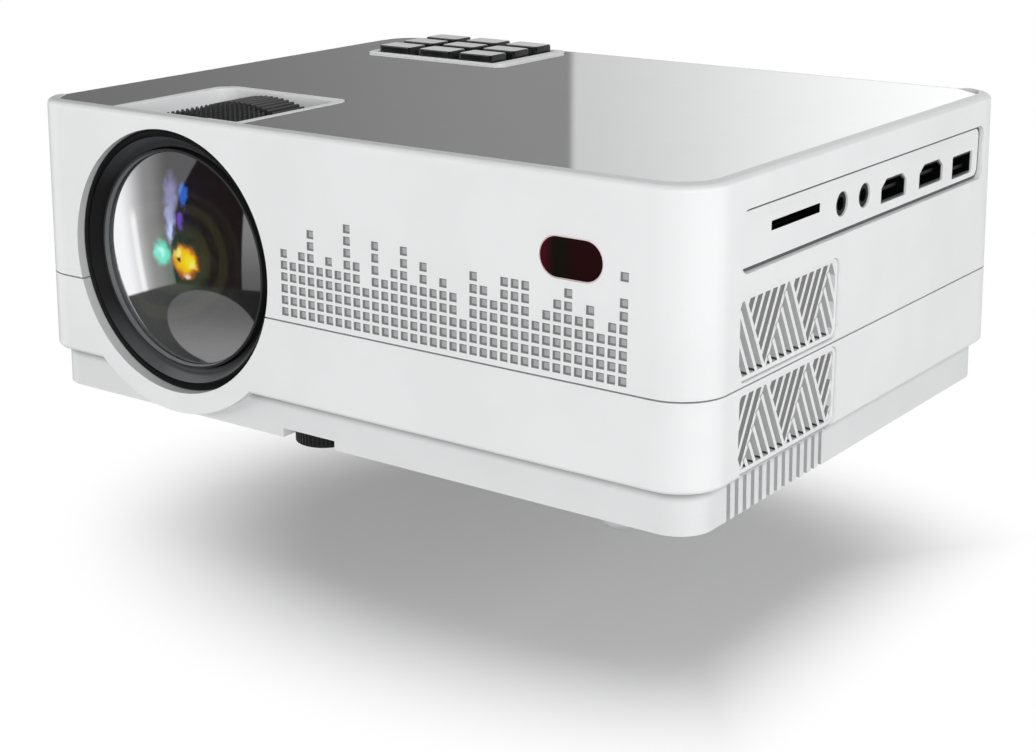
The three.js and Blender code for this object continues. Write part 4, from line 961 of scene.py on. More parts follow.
tray_plastic = plastic("tray_plastic", (0.82, 0.825, 0.83), roughness=0.4)
tray = bar("ring_tray", "Z", tray_outline(fit_gap), panel_span, tray_plastic)
flange_area = block("area", everywhere, (rim_front_y + fit_gap, 1), (0, 1), tray_plastic)
carve(tray, flange_area, operation="INTERSECT")
tray_inner_y = (tray_y[0] + fit_gap, tray_y[1])
well = block("well", tray_x, tray_inner_y, (tray_floor - tray_wall, panel_top), tray_plastic)
carve(tray, well, operation="UNION")
hollow_y = grown(tray_inner_y, -tray_wall)
hollow_span = (hollow_y[0] - tray_corner, hollow_y[1])
hollow_outline = rounded(grown(tray_x, -tray_wall), hollow_span, tray_corner)
hollow = bar("hollow", "Z", hollow_outline, (tray_floor, roof_top), tray_plastic)
front_part = block("front", everywhere, (hollow_y[0], 1), (0, 1), tray_plastic)
carve(hollow, front_part, operation="INTERSECT")
sweep_outline = circle(lens_axis, ring_radius + ring_room, 192)
sweep_span = (focus_span[0] - ring_room, keystone_span[1] + ring_room)
carve(tray, hollow, bar("sweep", "Y", sweep_outline, sweep_span, tray_plastic))
soften(tray, 0.25 * MM)
dress(tray, "case", "white_plastic", "ring_tray")


# Focus and keystone rings
# Two black nylon rings that turn on the lens mount. The front one has a diamond knurl for
# focus, and the rear one has fine ribs along it for keystone.
ring_bore = 34.8 * MM
ring_chamfer = 0.35 * MM
ring_steps = 160
knurl_count = 136
knurl_rows = 21
knurl_rise = 0.75 * MM
knurl_pitch = (focus_span[1] - focus_span[0]) / (knurl_rows + 1)
knurl_top = 0.35
knurl_foot = 0.85
rib_count = 124
rib_radius = 0.62 * MM

ring_plastic = plastic(
    "ring_plastic", (0.004, 0.004, 0.0042), roughness=0.4, grain=0.05, tint=0.2, specular=0.2
)
# Painted highlight: the knurl's studs and the keystone ribs are a lighter black than the ring under
# them.
knurl_highlight_plastic = plastic(
    "knurl_highlight_plastic", (0.034, 0.0345, 0.035), roughness=0.3, grain=0.05, tint=0.2
)


def turned(name, profile, material=None):
    """A closed ring from a profile of (radius, y) points turned about the lens axis."""
    loops = []
    for step in range(ring_steps):
        angle = 2 * math.pi * step / ring_steps
        across, rise = math.cos(angle), math.sin(angle)
        loops.append([(lens_x + r * across, y, lens_z + r * rise) for r, y in profile])
    return stack(name, loops, material, closed=True)


def ring_blank(span, outer):
    """A plain ring with small chamfers on its outer edges."""
    low, high = span
    return turned("blank", [
        (ring_bore, low),
        (outer - ring_chamfer, low),
        (outer, low + ring_chamfer),
        (outer, high - ring_chamfer),
        (outer - ring_chamfer, high),
        (ring_bore, high),
    ], ring_plastic)


def round_axis(start, sizes, shape, stagger):
    """Copies of a shape in rows round the lens axis, each with its Z turned outwards."""
    index = start.node("GeometryNodeInputIndex")
    row = (index / sizes["Around"]).math("FLOOR")
    angle = (index + row * (stagger - sizes["Around"])) * (2 * math.pi) / sizes["Around"]
    place = start.vector(
        X=angle.math("COSINE") * sizes["Radius"] + lens_x,
        Y=sizes["First"] + row * sizes["Pitch"],
        Z=angle.math("SINE") * sizes["Radius"] + lens_z,
    )
    count = sizes["Around"] * sizes["Rows"]
    points = start.node("GeometryNodePoints", {"Count": count, "Position": place})
    return copied(points, shape, Rotation=start.vector(Y=math.pi / 2 - angle))


def joined(name, *pieces):
    """Several meshes as one object, which keeps their materials."""
    shape = bmesh.new()
    materials = []
    for piece in pieces:
        own = list(piece.data.materials)
        materials += [material for material in own if material not in materials]
        first = len(shape.faces)
        shape.from_mesh(piece.data)
        shape.faces.ensure_lookup_table()
        for face in shape.faces[first:]:
            face.material_index = materials.index(own[face.material_index])
    mesh = bpy.data.meshes.new(name)
    shape.to_mesh(mesh)
    shape.free()
    whole = bpy.data.objects.new(name, mesh)
    bpy.context.scene.collection.objects.link(whole)
    for material in materials:
        mesh.materials.append(material)
    for piece in pieces:
        bpy.data.objects.remove(piece)
    return whole


def sprout(name, geometry, material, **sizes):
    """A piece that is only what the tree makes."""
    return grow(new_piece(name, [(0, 0, 0)], []), geometry, material, **sizes)


start, sizes = growth("knurl", Around=8, Rows=2, Radius=0.04, First=0.0, Pitch=0.001, Rise=0.001)
stud = start.node("GeometryNodeMeshCone", {
    "Vertices": 4,
    "Radius Top": sizes["Pitch"] * knurl_top,
    "Radius Bottom": sizes["Pitch"] * knurl_foot,
    "Depth": sizes["Rise"],
}, {"fill_type": "NGON"})
knurl = sprout(
    "knurl",
    round_axis(start, sizes, stud, 0.5),
    knurl_highlight_plastic,
    Around=knurl_count,
    Rows=knurl_rows,
    Radius=ring_radius - knurl_rise,
    First=focus_span[0] + knurl_pitch,
    Pitch=knurl_pitch,
    Rise=knurl_rise,
)
focus_blank = ring_blank(focus_span, ring_radius - knurl_rise)
focus_ring = joined("focus_ring_knurled", focus_blank, knurl)
dress(focus_ring, "focus_knob", "black_plastic", "focus_ring")

start, sizes = growth(
    "ribs", Around=8, Rows=1, Radius=0.04, First=0.0, Pitch=0.0, Thick=0.001, Long=0.01
)
rib = start.node("GeometryNodeMeshCylinder", {
    "Vertices": 8,
    "Radius": sizes["Thick"],
    "Depth": sizes["Long"],
}, {"fill_type": "NGON"})
laid = start.node("GeometryNodeTransform", {"Geometry": rib, "Rotation": (math.pi / 2, 0, 0)})
rib_bed = ring_radius - rib_radius
ribs = sprout(
    "ribs",
    round_axis(start, sizes, laid, 0.0),
    knurl_highlight_plastic,
    Around=rib_count,
    Radius=rib_bed,
    First=sum(keystone_span) / 2,
    Thick=rib_radius,
    Long=keystone_span[1] - keystone_span[0] - 2 * ring_chamfer,
)
keystone_ring = joined("keystone_ring_ribbed", ring_blank(keystone_span, rib_bed), ribs)
dress(keystone_ring, "keystone_knob", "black_plastic", "keystone_ring")


# Keypad
# A white bezel snapped into the roof panel, with nine spring keys in its well. Each key is a
# gloss black cap on a stem, with a silver lacquered top.
bezel_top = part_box("keypad_bezel")[1].z
well_floor = (86.5 * MM, 87.7 * MM)
key_size = (13.6 * MM, 9.0 * MM)
key_pitch = (17.0 * MM, 12.7 * MM)
key_corner = 1.2 * MM
key_edge = 0.35 * MM
key_bottom = 88.7 * MM
stem_size = (9 * MM, 5 * MM)
stem_bottom, key_top = extents("key_1")[2]
board_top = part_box("keypad_board")[1].z - 1.2 * MM
post_radius = 1.2 * MM
post_reach = (board_top + 0.3 * MM, well_floor[1])
post_spread = (22.6 * MM, 16.0 * MM)

bezel_span = (panel_span[0], bezel_top)
bezel = bar("keypad_bezel", "Z", bezel_outline(fit_gap), bezel_span, tray_plastic)
well_span = (well_floor[0], bezel_top)
well = block("well", grown(well_x, tray_wall), grown(well_y, tray_wall), well_span, tray_plastic)
carve(bezel, well, operation="UNION")
key_places = []
for row in (-1, 0, 1):
    for column in (-1, 0, 1):
        key_places.append((keypad_x + column * key_pitch[0], keypad_y + row * key_pitch[1]))
stem_holes = [
    block(
        "stem_hole",
        around(x, stem_size[0] + 2 * fit_gap),
        around(y, stem_size[1] + 2 * fit_gap),
        (well_floor[0] - MM, bezel_top),
        tray_plastic,
    )
    for x, y in key_places
]
hollow_reach = (well_floor[1], bezel_top + MM)
carve(bezel, bar("hollow", "Z", rounded(well_x, well_y, MM, 6), hollow_reach, tray_plastic))
carve(bezel, *stem_holes)
posts = []
for x in around(keypad_x, 2 * post_spread[0]):
    for y in around(keypad_y, 2 * post_spread[1]):
        posts.append(bar("post", "Z", circle((x, y), post_radius, 16), post_reach))
carve(bezel, *posts, operation="UNION")
soften(bezel, 0.2 * MM)
dress(bezel, "case", "white_plastic", "keypad_bezel")

key_black = plastic("key_black", (0.012, 0.012, 0.013), roughness=0.12, grain=0.0, tint=0.3)
key_silver = plastic("key_silver", (0.86, 0.865, 0.875), roughness=0.28, grain=0.03, tint=0.06)


def key_outline(x, y, inset=0.0):
    across = around(x, key_size[0] - 2 * inset)
    along = around(y, key_size[1] - 2 * inset)
    return rounded(across, along, key_corner - inset, 6)


def on_top(face):
    return face.normal.z > 0.9 and face.center.z > key_top - key_edge / 2


for number, (x, y) in enumerate(key_places, 1):
    loops = []
    for inset, z in ((0.0, key_bottom), (0.0, key_top - key_edge), (key_edge, key_top)):
        loops.append([(u, v, z) for u, v in key_outline(x, y, inset)])
    key = stack(f"key_{number}_cap", loops, key_black)
    stem_reach = (stem_bottom, key_bottom + MM)
    stem = block("stem", around(x, stem_size[0]), around(y, stem_size[1]), stem_reach, key_black)
    carve(key, stem, operation="UNION")
    two_tone(key, key_black, key_silver, on_top)
    smooth(key, 40)
    key.visible_glossy = False
    dress(key, f"key_{number}_cap", "key_black", f"key_{number}")


# Socket panel
# A white panel set back in the right wall, with plated sockets that stand on the main board
# behind it, black jacks and a black card slot. A dark grey strip runs round it as painted shade
# in the gap at the recess's edges.
socket_back, socket_face = extents("socket_panel")[0]
socket_front = socket_face - 0.5 * MM
socket_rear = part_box("usb_socket")[0].x
shell_thickness = 0.5 * MM
tongue_thickness = 1.0 * MM
tongue_width = 11 * MM
tongue_front = socket_front - 1.5 * MM
foot_bottom = 68.9 * MM
hdmi_low = 69.9 * MM
hdmi_width = 15.5 * MM
hdmi_top_width = 9.8 * MM
hdmi_shoulder = 4.2 * MM
hdmi_height = 6.4 * MM
hdmi_tongue = 73.1 * MM
hdmi_middles = {"hdmi_socket_front": 16.0 * MM, "hdmi_socket_rear": 39.7 * MM}
usb_middle = 60.8 * MM
usb_width = 13.7 * MM
usb_z = (68.8 * MM, 75.3 * MM)
usb_corner = 0.5 * MM
usb_tongue = 71.0 * MM
jack_radius = 3.3 * MM
jack_bore = 1.8 * MM
jack_body = 8 * MM
jack_places = {"audio_jack": (-14.6 * MM, 74.1 * MM), "av_jack": (-1.8 * MM, 74.1 * MM)}
card_y = around(-39.4 * MM, 24.9 * MM)
card_z = around(75.4 * MM, 2.4 * MM)
card_corner = 0.2 * MM
card_wall = 1.2 * MM
shade_seal_low = 0.9 * MM
shade_seal_high = 0.95 * MM
shade_seal_fit = 0.05 * MM
shade_seal_span = (socket_back + 0.1 * MM, socket_face - 0.15 * MM)
panel_corner = 2.4 * MM
fine_edge = 0.12 * MM

socket_metal = plastic("socket_metal", (0.014, 0.014, 0.015), roughness=0.4, tint=0.3)
socket_black = plastic("socket_black", (0.004, 0.004, 0.004), roughness=0.4, tint=0.3, specular=0.2)
# Painted shade: the dark grey of the strip round the panel.
seal_shade_grey = plastic("seal_shade_grey", (0.10, 0.10, 0.102), roughness=0.6)


def hdmi_outline(middle, inset=0.0):
    half = hdmi_width / 2 - inset
    top_half = hdmi_top_width / 2 - inset
    low = hdmi_low + inset
    shoulder = hdmi_low + hdmi_shoulder
    top = hdmi_low + hdmi_height - inset
    return [
        (middle - half, low), (middle + half, low), (middle + half, shoulder),
        (middle + top_half, top), (middle - top_half, top), (middle - half, shoulder),
    ]


def usb_outline(middle, inset=0.0):
    y = around(middle, usb_width - 2 * inset)
    return rounded(y, grown(usb_z, -inset), usb_corner - inset / 2, 4)


through_panel = grown((socket_back, socket_face), MM)
panel_y = grown(recess_y, -shade_seal_high)
panel_z = (recess_z[0] + shade_seal_low, recess_z[1] - shade_seal_high)
panel_outline = rounded(panel_y, panel_z, panel_corner, 8)
panel_holes = [
    *(hdmi_outline(middle) for middle in hdmi_middles.values()),
    usb_outline(usb_middle),
    *(circle(place, jack_radius, 64) for place in jack_places.values()),
]
socket_panel = bar("socket_panel", "X", panel_outline, (socket_back, socket_face), white_plastic)
carve(
    socket_panel,
    *(bar("hole", "X", outline, through_panel, white_plastic) for outline in panel_holes),
    bar("hole", "X", rounded(card_y, card_z, card_corner, 3), through_panel, socket_black),
)
shade_seal_corner = recess_corner - 2 * shade_seal_fit
shade_seal_outline = rounded(grown(recess_y, -shade_seal_fit), grown(recess_z, -shade_seal_fit), shade_seal_corner, 8)
shade_seal = bar("shade_seal", "X", shade_seal_outline, shade_seal_span, seal_shade_grey)
carve(shade_seal, bar("hole", "X", panel_outline, through_panel, seal_shade_grey))
socket_panel = joined("socket_panel", socket_panel, shade_seal)
soften(socket_panel, fine_edge)
dress(socket_panel, "case", "white_plastic", "socket_panel")


def shelled_socket(name, outline, middle, width, low, tongue_z):
    """A sheet metal shell with a black tongue, on a foot that stands on the board."""
    shell = bar(name, "X", outline(middle, fit_gap), (socket_rear, socket_front), socket_metal)
    inner = outline(middle, fit_gap + shell_thickness)
    inner_reach = (socket_rear + 2 * shell_thickness, socket_front + MM)
    carve(shell, bar("hollow", "X", inner, inner_reach, socket_black))
    tongue = block(
        "tongue",
        (socket_rear, tongue_front),
        around(middle, tongue_width),
        around(tongue_z, tongue_thickness),
        socket_black,
    )
    foot = block(
        "foot",
        (socket_rear, socket_back - fit_gap),
        around(middle, width - 2 * (fit_gap + shell_thickness)),
        (foot_bottom, low + fit_gap + shell_thickness / 2),
        socket_metal,
    )
    carve(shell, tongue, foot, operation="UNION")
    soften(shell, 0.08 * MM)
    dress(shell, "case", "socket_metal", name)


for name, middle in hdmi_middles.items():
    shelled_socket(name, hdmi_outline, middle, hdmi_width, hdmi_low, hdmi_tongue)
shelled_socket("usb_socket", usb_outline, usb_middle, usb_width, usb_z[0], usb_tongue)

for name, (y, z) in jack_places.items():
    nose_outline = circle((y, z), jack_radius - fit_gap, 64)
    nose = bar(name, "X", nose_outline, (socket_back - MM, socket_front), socket_black)
    body = block(
        "body",
        (socket_rear, socket_back - fit_gap),
        around(y, jack_body),
        (foot_bottom, z + jack_body / 2),
        socket_black,
    )
    carve(nose, body, operation="UNION")
    bore_reach = (socket_rear + 0.5 * MM, socket_face)
    carve(nose, bar("bore", "X", circle((y, z), jack_bore, 48), bore_reach, socket_black))
    soften(nose, fine_edge)
    dress(nose, "case", "black_plastic", name)

card_spans = extents("card_slot")
card_slot = block("card_slot", *card_spans, socket_black)
card_reach = (card_spans[0][0] + card_wall, socket_face)
carve(card_slot, block("slot", card_reach, card_y, card_z, socket_black))
soften(card_slot, fine_edge)
dress(card_slot, "case", "black_plastic", "card_slot")


# Vent grilles
# Four white grilles behind the vent windows. Their slats lean one way in the triangles that
# stand on their base and the other way in those between, in front of a fine grey mesh. The
# slats' sides are painted shade, deeper on the set that is turned over, with a painted shadow
# at their feet.
vent_period = 22.5 * MM
vent_zones = 5
slats_per_zone = 6
slat_width = 1.15 * MM
slat_depth = 1.6 * MM
slat_recess = {False: 0.12 * MM, True: 0.5 * MM}
slat_shadow = (2.1 * MM, 1.8 * MM)
grille_frame = 1.1 * MM
mesh_thickness = 0.3 * MM
mesh_margin = 1.5 * MM

mesh_grey = plastic("mesh_grey", (0.32, 0.32, 0.323), roughness=0.7, grain=0.2, grain_scale=900)


def painted_slat_shade(name, tone, heights):
    """The side of a slat in painted shade, nearly black at its foot as a painted shadow."""
    foot = (heights[0] + slat_shadow[0], heights[0] + slat_shadow[1], (0.03, 0.03, 0.03))
    return plastic(name, (tone, tone * 1.005, tone * 1.01), roughness=0.5, band=foot)


# Painted shade in two depths: a lighter one for one set of slats, a deeper one for the set turned
# over.
painted_slat_shades = {
    (False, upper_vent): painted_slat_shade("upper_slat_side_shade", 0.55, upper_vent),
    (False, lower_vent): painted_slat_shade("lower_slat_side_shade", 0.55, lower_vent),
    (True, upper_vent): painted_slat_shade("upper_slat_side_deep_shade", 0.30, upper_vent),
    (True, lower_vent): painted_slat_shade("lower_slat_side_deep_shade", 0.30, lower_vent),
}


def slats(side, heights, middle_x, turned_over):
    """The slats of every zone that leans one way, from the window's edge to a zone's side."""
    rise = heights[1] - heights[0]
    half = vent_period / 2
    lean = math.atan2(half, rise)
    lead = half if heights == lower_vent else 0.0
    first = vent_sides[side] + lead - 2 * vent_period + (vent_period if turned_over else half)
    start, sizes = growth(
        "slats", Zones=2, PerZone=2, Period=0.02, Long=0.02, Thick=0.001, Deep=0.001, Lean=0.5
    )
    index = start.node("GeometryNodeInputIndex")
    zone = (index / sizes["PerZone"]).math("FLOOR")
    number = index - zone * sizes["PerZone"]
    place = start.vector(
        X=middle_x,
        Y=first + zone * sizes["Period"] - number * sizes["Period"] / sizes["PerZone"],
        Z=heights[1] if turned_over else heights[0],
    )
    count = sizes["Zones"] * sizes["PerZone"]
    points = start.node("GeometryNodePoints", {"Count": count, "Position": place})
    size = start.vector(X=sizes["Deep"], Y=sizes["Thick"], Z=sizes["Long"])
    slat = start.node("GeometryNodeMeshCube", {"Size": size})
    lift = start.vector(Z=sizes["Long"] * 0.5)
    stood = start.node("GeometryNodeTransform", {"Geometry": slat, "Translation": lift})
    turn = start.vector(X=sizes["Lean"])
    length = start.vector(X=1.0, Y=1.0, Z=1.0 - number / sizes["PerZone"])
    leaning = sprout(
        "slats",
        copied(points, stood, Rotation=turn, Scale=length),
        white_plastic,
        Zones=vent_zones,
        PerZone=slats_per_zone,
        Period=vent_period,
        Long=math.hypot(half, rise),
        Thick=slat_width,
        Deep=slat_depth,
        Lean=math.pi - lean if turned_over else lean,
    )
    shaded = painted_slat_shades[turned_over, heights]
    two_tone(leaning, white_plastic, shaded, lambda face: abs(face.normal.x) < 0.9)
    return leaning


for node, side, heights in (
    ("right_upper_grille", 1, upper_vent),
    ("right_lower_grille", 1, lower_vent),
    ("left_upper_grille", -1, upper_vent),
    ("left_lower_grille", -1, lower_vent),
):
    grille_x = extents(node)[0]
    inner, outer = grille_x if side > 0 else reversed(grille_x)
    grille = bar(node, "X", vent_outline(side, heights, fit_gap), grille_x, white_plastic)
    opening = vent_outline(side, heights, fit_gap + grille_frame)
    carve(grille, bar("opening", "X", opening, grown(grille_x, overrun), white_plastic))
    trim_outline = vent_outline(side, heights, fit_gap + grille_frame / 2)
    for turned_over, recess in slat_recess.items():
        leaning = slats(side, heights, outer - side * (recess + slat_depth / 2), turned_over)
        trim = bar("trim", "X", trim_outline, grille_x, white_plastic)
        carve(leaning, trim, operation="INTERSECT")
        grille = joined(node, grille, leaning)
    sheet_x = sorted((inner - side * mesh_thickness, inner + side * fit_gap))
    mesh_y = around(vent_sides[side], vent_length - 2 * mesh_margin)
    sheet = block("mesh", sheet_x, mesh_y, grown(heights, -fit_gap), mesh_grey)
    dress(joined(node, grille, sheet), "case", "white_plastic", node)


# Infrared window
# A small stadium of dark red acrylic that sits in the front wall, with a polished edge, in
# front of the remote control's receiver. Its edge is painted pale pink as a painted highlight,
# and its left end carries a painted red glow.
window_front, window_back = extents("ir_window")[1]
window_edge = 0.28 * MM
window_gap = 0.04 * MM


def red_gloss():
    """Dark red acrylic, almost black, with a painted red glow at its left end."""
    made, start = blank_material("red_window")
    # The painted glow: a lighter red towards the left end.
    along = (start.place().parts()[0] - ir_middle[0]) * 1000
    left = along.between(-9.6, -4.5).mixed((0.060, 0.001, 0.009, 1), (0.005, 0.003, 0.001, 1))
    return principled(made, {
        "Base Color": along.between(-2.0, 2.0).mixed(left, (0.013, 0.0006, 0.0014, 1)),
        "Roughness": 0.06,
        "Specular IOR Level": 0.25,
    })


red_window = red_gloss()
# Painted highlight on the polished chamfer.
edge_painted_highlight = plastic("edge_painted_highlight", (0.82, 0.66, 0.68), roughness=0.3)
window_loops = []
for take, y in ((window_edge, window_front), (0, window_front + window_edge), (0, window_back)):
    window_loops.append([(x, y, z) for x, z in window_outline(window_gap + take)])
ir_window = stack("infrared_window", window_loops)
two_tone(ir_window, red_window, edge_painted_highlight, lambda face: -0.9 < face.normal.y < -0.3)
smooth(ir_window)
dress(ir_window, "case", "red_window", "ir_window")


# Lens
# A satin black shroud with a painted grey sheen behind the opening in the case, and a barrel
# that slides in it with a coated front glass 61 mm wide, which carries painted glowing ghosts.
# Painted light greys the barrel's grooved mouth. A dark blind with stepped rings, painted to
# glow, stands behind the glass.
shroud_front, shroud_back = extents("lens_shroud")[1]
shroud_rim = shroud_front - 1.3 * MM
shroud_outer = 37.6 * MM
shroud_bore = 32.1 * MM
shroud_mouth = 35.4 * MM
shroud_sharp = 25
barrel_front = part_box("lens_barrel")[0].y - 1.4 * MM
barrel_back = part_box("lens_barrel")[1].y
barrel_radius = 31.7 * MM
barrel_seat = 30.8 * MM
barrel_groove = 31.0 * MM
barrel_bore = 29.4 * MM
rear_seat = 22.2 * MM
rear_bore = 20.4 * MM
glass_radius = 30.6 * MM
glass_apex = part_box("front_lens")[0].y + 2.6 * MM
glass_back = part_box("front_lens")[1].y
glass_bulge = 1.2 * MM
rear_glass_radius = 22 * MM
rear_glass_edge = 4.4 * MM
dome_steps = 20


def shroud_with_painted_sheen():
    """Satin black paint, with a painted grey sheen at the top and bottom of the cone."""
    made, start = blank_material("shroud_black_painted_sheen")
    place = start.place()
    rise = (place.parts()[2] - lens_z) * 1000
    above = rise.between(16, 33).mixed((0.014, 0.014, 0.015, 1), (0.050, 0.052, 0.055, 1))
    below = (rise * -1).between(12, 34).mixed(above, (0.075, 0.077, 0.080, 1))
    fine = start.node("ShaderNodeTexNoise", {"Vector": place, "Scale": 2600.0, "Detail": 2.0})
    bump = {"Strength": 0.05, "Distance": grain_depth, "Height": fine}
    return principled(made, {
        "Base Color": below,
        "Roughness": 0.30,
        "Normal": start.node("ShaderNodeBump", bump),
    })


shroud_black_painted_sheen = shroud_with_painted_sheen()
black_plastic = plastic(
    "black_plastic", (0.022, 0.022, 0.023), roughness=0.42, grain=0.10, tint=0.3
)
rim_black = plastic("rim_black", (0.003, 0.003, 0.0032), roughness=0.25, tint=0.2, specular=0.2)
# Painted light: grey for the grooved mouth of the otherwise black barrel.
barrel_mouth_painted_light = plastic("barrel_mouth_painted_light", (0.19, 0.195, 0.20), roughness=0.35, grain=0.05, tint=0.15)

shroud = turned("lens_shroud", [
    (shroud_outer, shroud_rim),
    (shroud_outer, shroud_back),
    (shroud_bore, shroud_back),
    (shroud_bore, shroud_back - 1.0 * MM),
    (shroud_bore + 1.0 * MM, shroud_back - 1.5 * MM),
    (shroud_mouth, shroud_rim),
])


def on_rim(face):
    return face.normal.y < -0.9 and face.center.y < shroud_rim + 0.1 * MM


two_tone(shroud, shroud_black_painted_sheen, rim_black, on_rim)
bevel = shroud.modifiers.new("edge", "BEVEL")
bevel.width = fine_edge
bevel.segments = 2
bevel.limit_method = "ANGLE"
bevel.angle_limit = math.radians(shroud_sharp)
settle(shroud)
smooth(shroud, shroud_sharp)
dress(shroud, "case", "gloss_black", "lens_shroud")

barrel = turned("lens_barrel", [
    (barrel_radius, barrel_front),
    (barrel_radius, barrel_back),
    (rear_bore, barrel_back),
    (rear_bore, barrel_back - 3 * MM),
    (rear_seat, barrel_back - 3 * MM),
    (rear_seat, barrel_back - 10 * MM),
    (barrel_bore, barrel_back - 10 * MM),
    (barrel_bore, glass_back + fit_gap),
    (barrel_seat, glass_back + fit_gap),
    (barrel_seat, barrel_front + 1.5 * MM),
    (barrel_groove, barrel_front + 1.2 * MM),
    (barrel_seat, barrel_front + 0.9 * MM),
    (barrel_groove, barrel_front + 0.6 * MM),
    (barrel_groove - 0.1 * MM, barrel_front + 0.3 * MM),
    (barrel_groove, barrel_front),
])


def in_mouth(face):
    """True for the grooved faces of the barrel in front of the glass."""
    reach = math.hypot(face.center.x - lens_x, face.center.z - lens_z)
    depth = face.center.y - barrel_front
    return reach < barrel_groove + 0.3 * MM and 0.05 * MM < depth < 2.5 * MM


# Painted light on the barrel's grooved mouth.
two_tone(barrel, black_plastic, barrel_mouth_painted_light, in_mouth)
dress(barrel, "lens_group", "black_plastic", "lens_barrel")


def spot(place, centre, reach, soft):
    """1 inside an ellipse on the glass and 0 outside it, from its middle and half sizes in mm."""
    across = (place[0] - (lens_x + centre[0] * MM)) / (reach[0] * MM)
    rise = (place[2] - (lens_z + centre[1] * MM)) / (reach[1] * MM)
    return 1 - (across * across + rise * rise).math("SQRT").between(1 - soft, 1 + soft / 2)


def glass_with_painted_ghosts():
    """A silvery coated glass that mirrors the room, with coloured ghosts painted on it as glows:
    painted reflections.
    """
    made, start = blank_material("glass_with_painted_ghosts")
    place = start.place()
    noise = {"Vector": place, "Scale": 420.0, "Detail": 2.0}
    waver = start.node("ShaderNodeTexNoise", noise, output=1)
    push = 3.5 * MM
    pushed = {0: waver, 1: (push, 0, push), 2: place}
    shift = start.node("ShaderNodeVectorMath", pushed, {"operation": "MULTIPLY_ADD"})
    centred = {0: shift, 1: (push / 2, 0, push / 2)}
    here = start.node("ShaderNodeVectorMath", centred, {"operation": "SUBTRACT"}).parts()
    glow = grey(0)
    for colour, centre, reach, soft in (
        ((0.02, 0.05, 0.025), (-1.0, -0.4), (11.0, 9.0), 0.8),
        ((0.20, 0.19, 0.42), (-3.4, 18.0), (2.8, 6.5), 0.7),
        ((0.30, 0.32, 0.62), (-3.8, 11.2), (2.2, 5.0), 0.7),
        ((0.02, 0.13, 0.60), (1.7, 18.8), (1.9, 3.4), 0.35),
        ((0.16, 0.07, 0.50), (0.1, 11.4), (1.5, 2.6), 0.6),
        ((0.50, 0.60, 0.95), (-3.7, 7.7), (1.2, 3.2), 0.7),
        ((0.01, 0.75, 0.50), (-7.7, 1.0), (3.6, 3.8), 0.5),
        ((0.35, 0.95, 0.80), (-8.0, 1.5), (1.3, 1.5), 0.8),
        ((0.62, 0.17, 0.01), (1.7, -0.3), (5.4, 5.2), 0.3),
        ((1.00, 0.60, 0.00), (1.4, 0.1), (4.3, 3.7), 0.4),
        ((1.00, 0.82, 0.00), (3.2, -0.7), (2.6, 2.6), 0.5),
        ((1.00, 0.92, 0.20), (-1.1, 1.9), (1.5, 1.7), 0.7),
        ((1.00, 0.92, 0.20), (4.3, -1.0), (1.3, 1.4), 0.7),
        ((0.95, 0.75, 0.60), (1.9, -4.7), (1.2, 1.2), 0.8),
        ((0.03, 0.01, 0.00), (-0.9, 0.1), (1.0, 1.2), 0.5),
    ):
        glow = spot(here, centre, reach, soft).mixed(glow, (*colour, 1))
    return principled(made, {
        "Base Color": (0.93, 0.93, 0.95, 1),
        "Metallic": 1.0,
        "Roughness": 0.02,
        "Alpha": 0.78,
        "Emission Color": glow,
        "Emission Strength": 1.0,
    })


def clear_glass(name, tint, see_through):
    """Plain clear glass or acrylic: mostly see-through, with a polished surface, and a painted
    reflection: paler and less see-through where it is seen edge-on.
    """
    made, start = blank_material(name)
    edge = start.node("ShaderNodeLayerWeight", {"Blend": 0.3}, output=1)
    return principled(made, {
        "Base Color": edge.mixed((*tint, 1), (0.85, 0.9, 0.9, 1)),
        "Roughness": 0.04,
        "Alpha": see_through + edge * (1 - see_through) * 0.8,
    })


coated = glass_with_painted_ghosts()
glass = clear_glass("glass", (0.5, 0.55, 0.58), 0.12)


def dome(rim_y, apex_y, radius):
    """Points of a spherical cap from its rim to its apex, as (radius, y)."""
    bulge = rim_y - apex_y
    sphere = (radius * radius + bulge * bulge) / (2 * bulge)
    points = []
    for step in range(dome_steps + 1):
        r = radius * (1 - step / dome_steps)
        points.append((r, rim_y - (math.sqrt(sphere * sphere - r * r) - (sphere - bulge))))
    return points


front_lens = turned("front_lens", [
    (0, glass_back),
    (glass_radius, glass_back),
    *dome(glass_apex + glass_bulge, glass_apex, glass_radius),
])
two_tone(front_lens, coated, glass, lambda face: face.normal.y > -0.5)
smooth(front_lens)
dress(front_lens, "lens_group", "glass", "front_lens")

rear_front, rear_back = extents("rear_lens")[1]
rear_lens = turned("rear_lens", [
    (0, rear_back),
    (rear_glass_radius, rear_back),
    *dome(rear_back - rear_glass_edge, rear_front, rear_glass_radius),
], glass)
smooth(rear_lens)
dress(rear_lens, "lens_group", "glass", "rear_lens")

blind_front = glass_back + 0.4 * MM
rings_middle = (lens_x - 15 * MM, lens_z - 4 * MM)
blind_steps = [
    (29.2, 0.0), (25.5, 2.0), (25.5, 3.2), (20.5, 5.2), (20.5, 6.4), (15.0, 8.4), (15.0, 9.6),
    (9.5, 11.6), (0, 11.6), (0, 13.0), (9.5, 13.0), (29.2, 1.4),
]


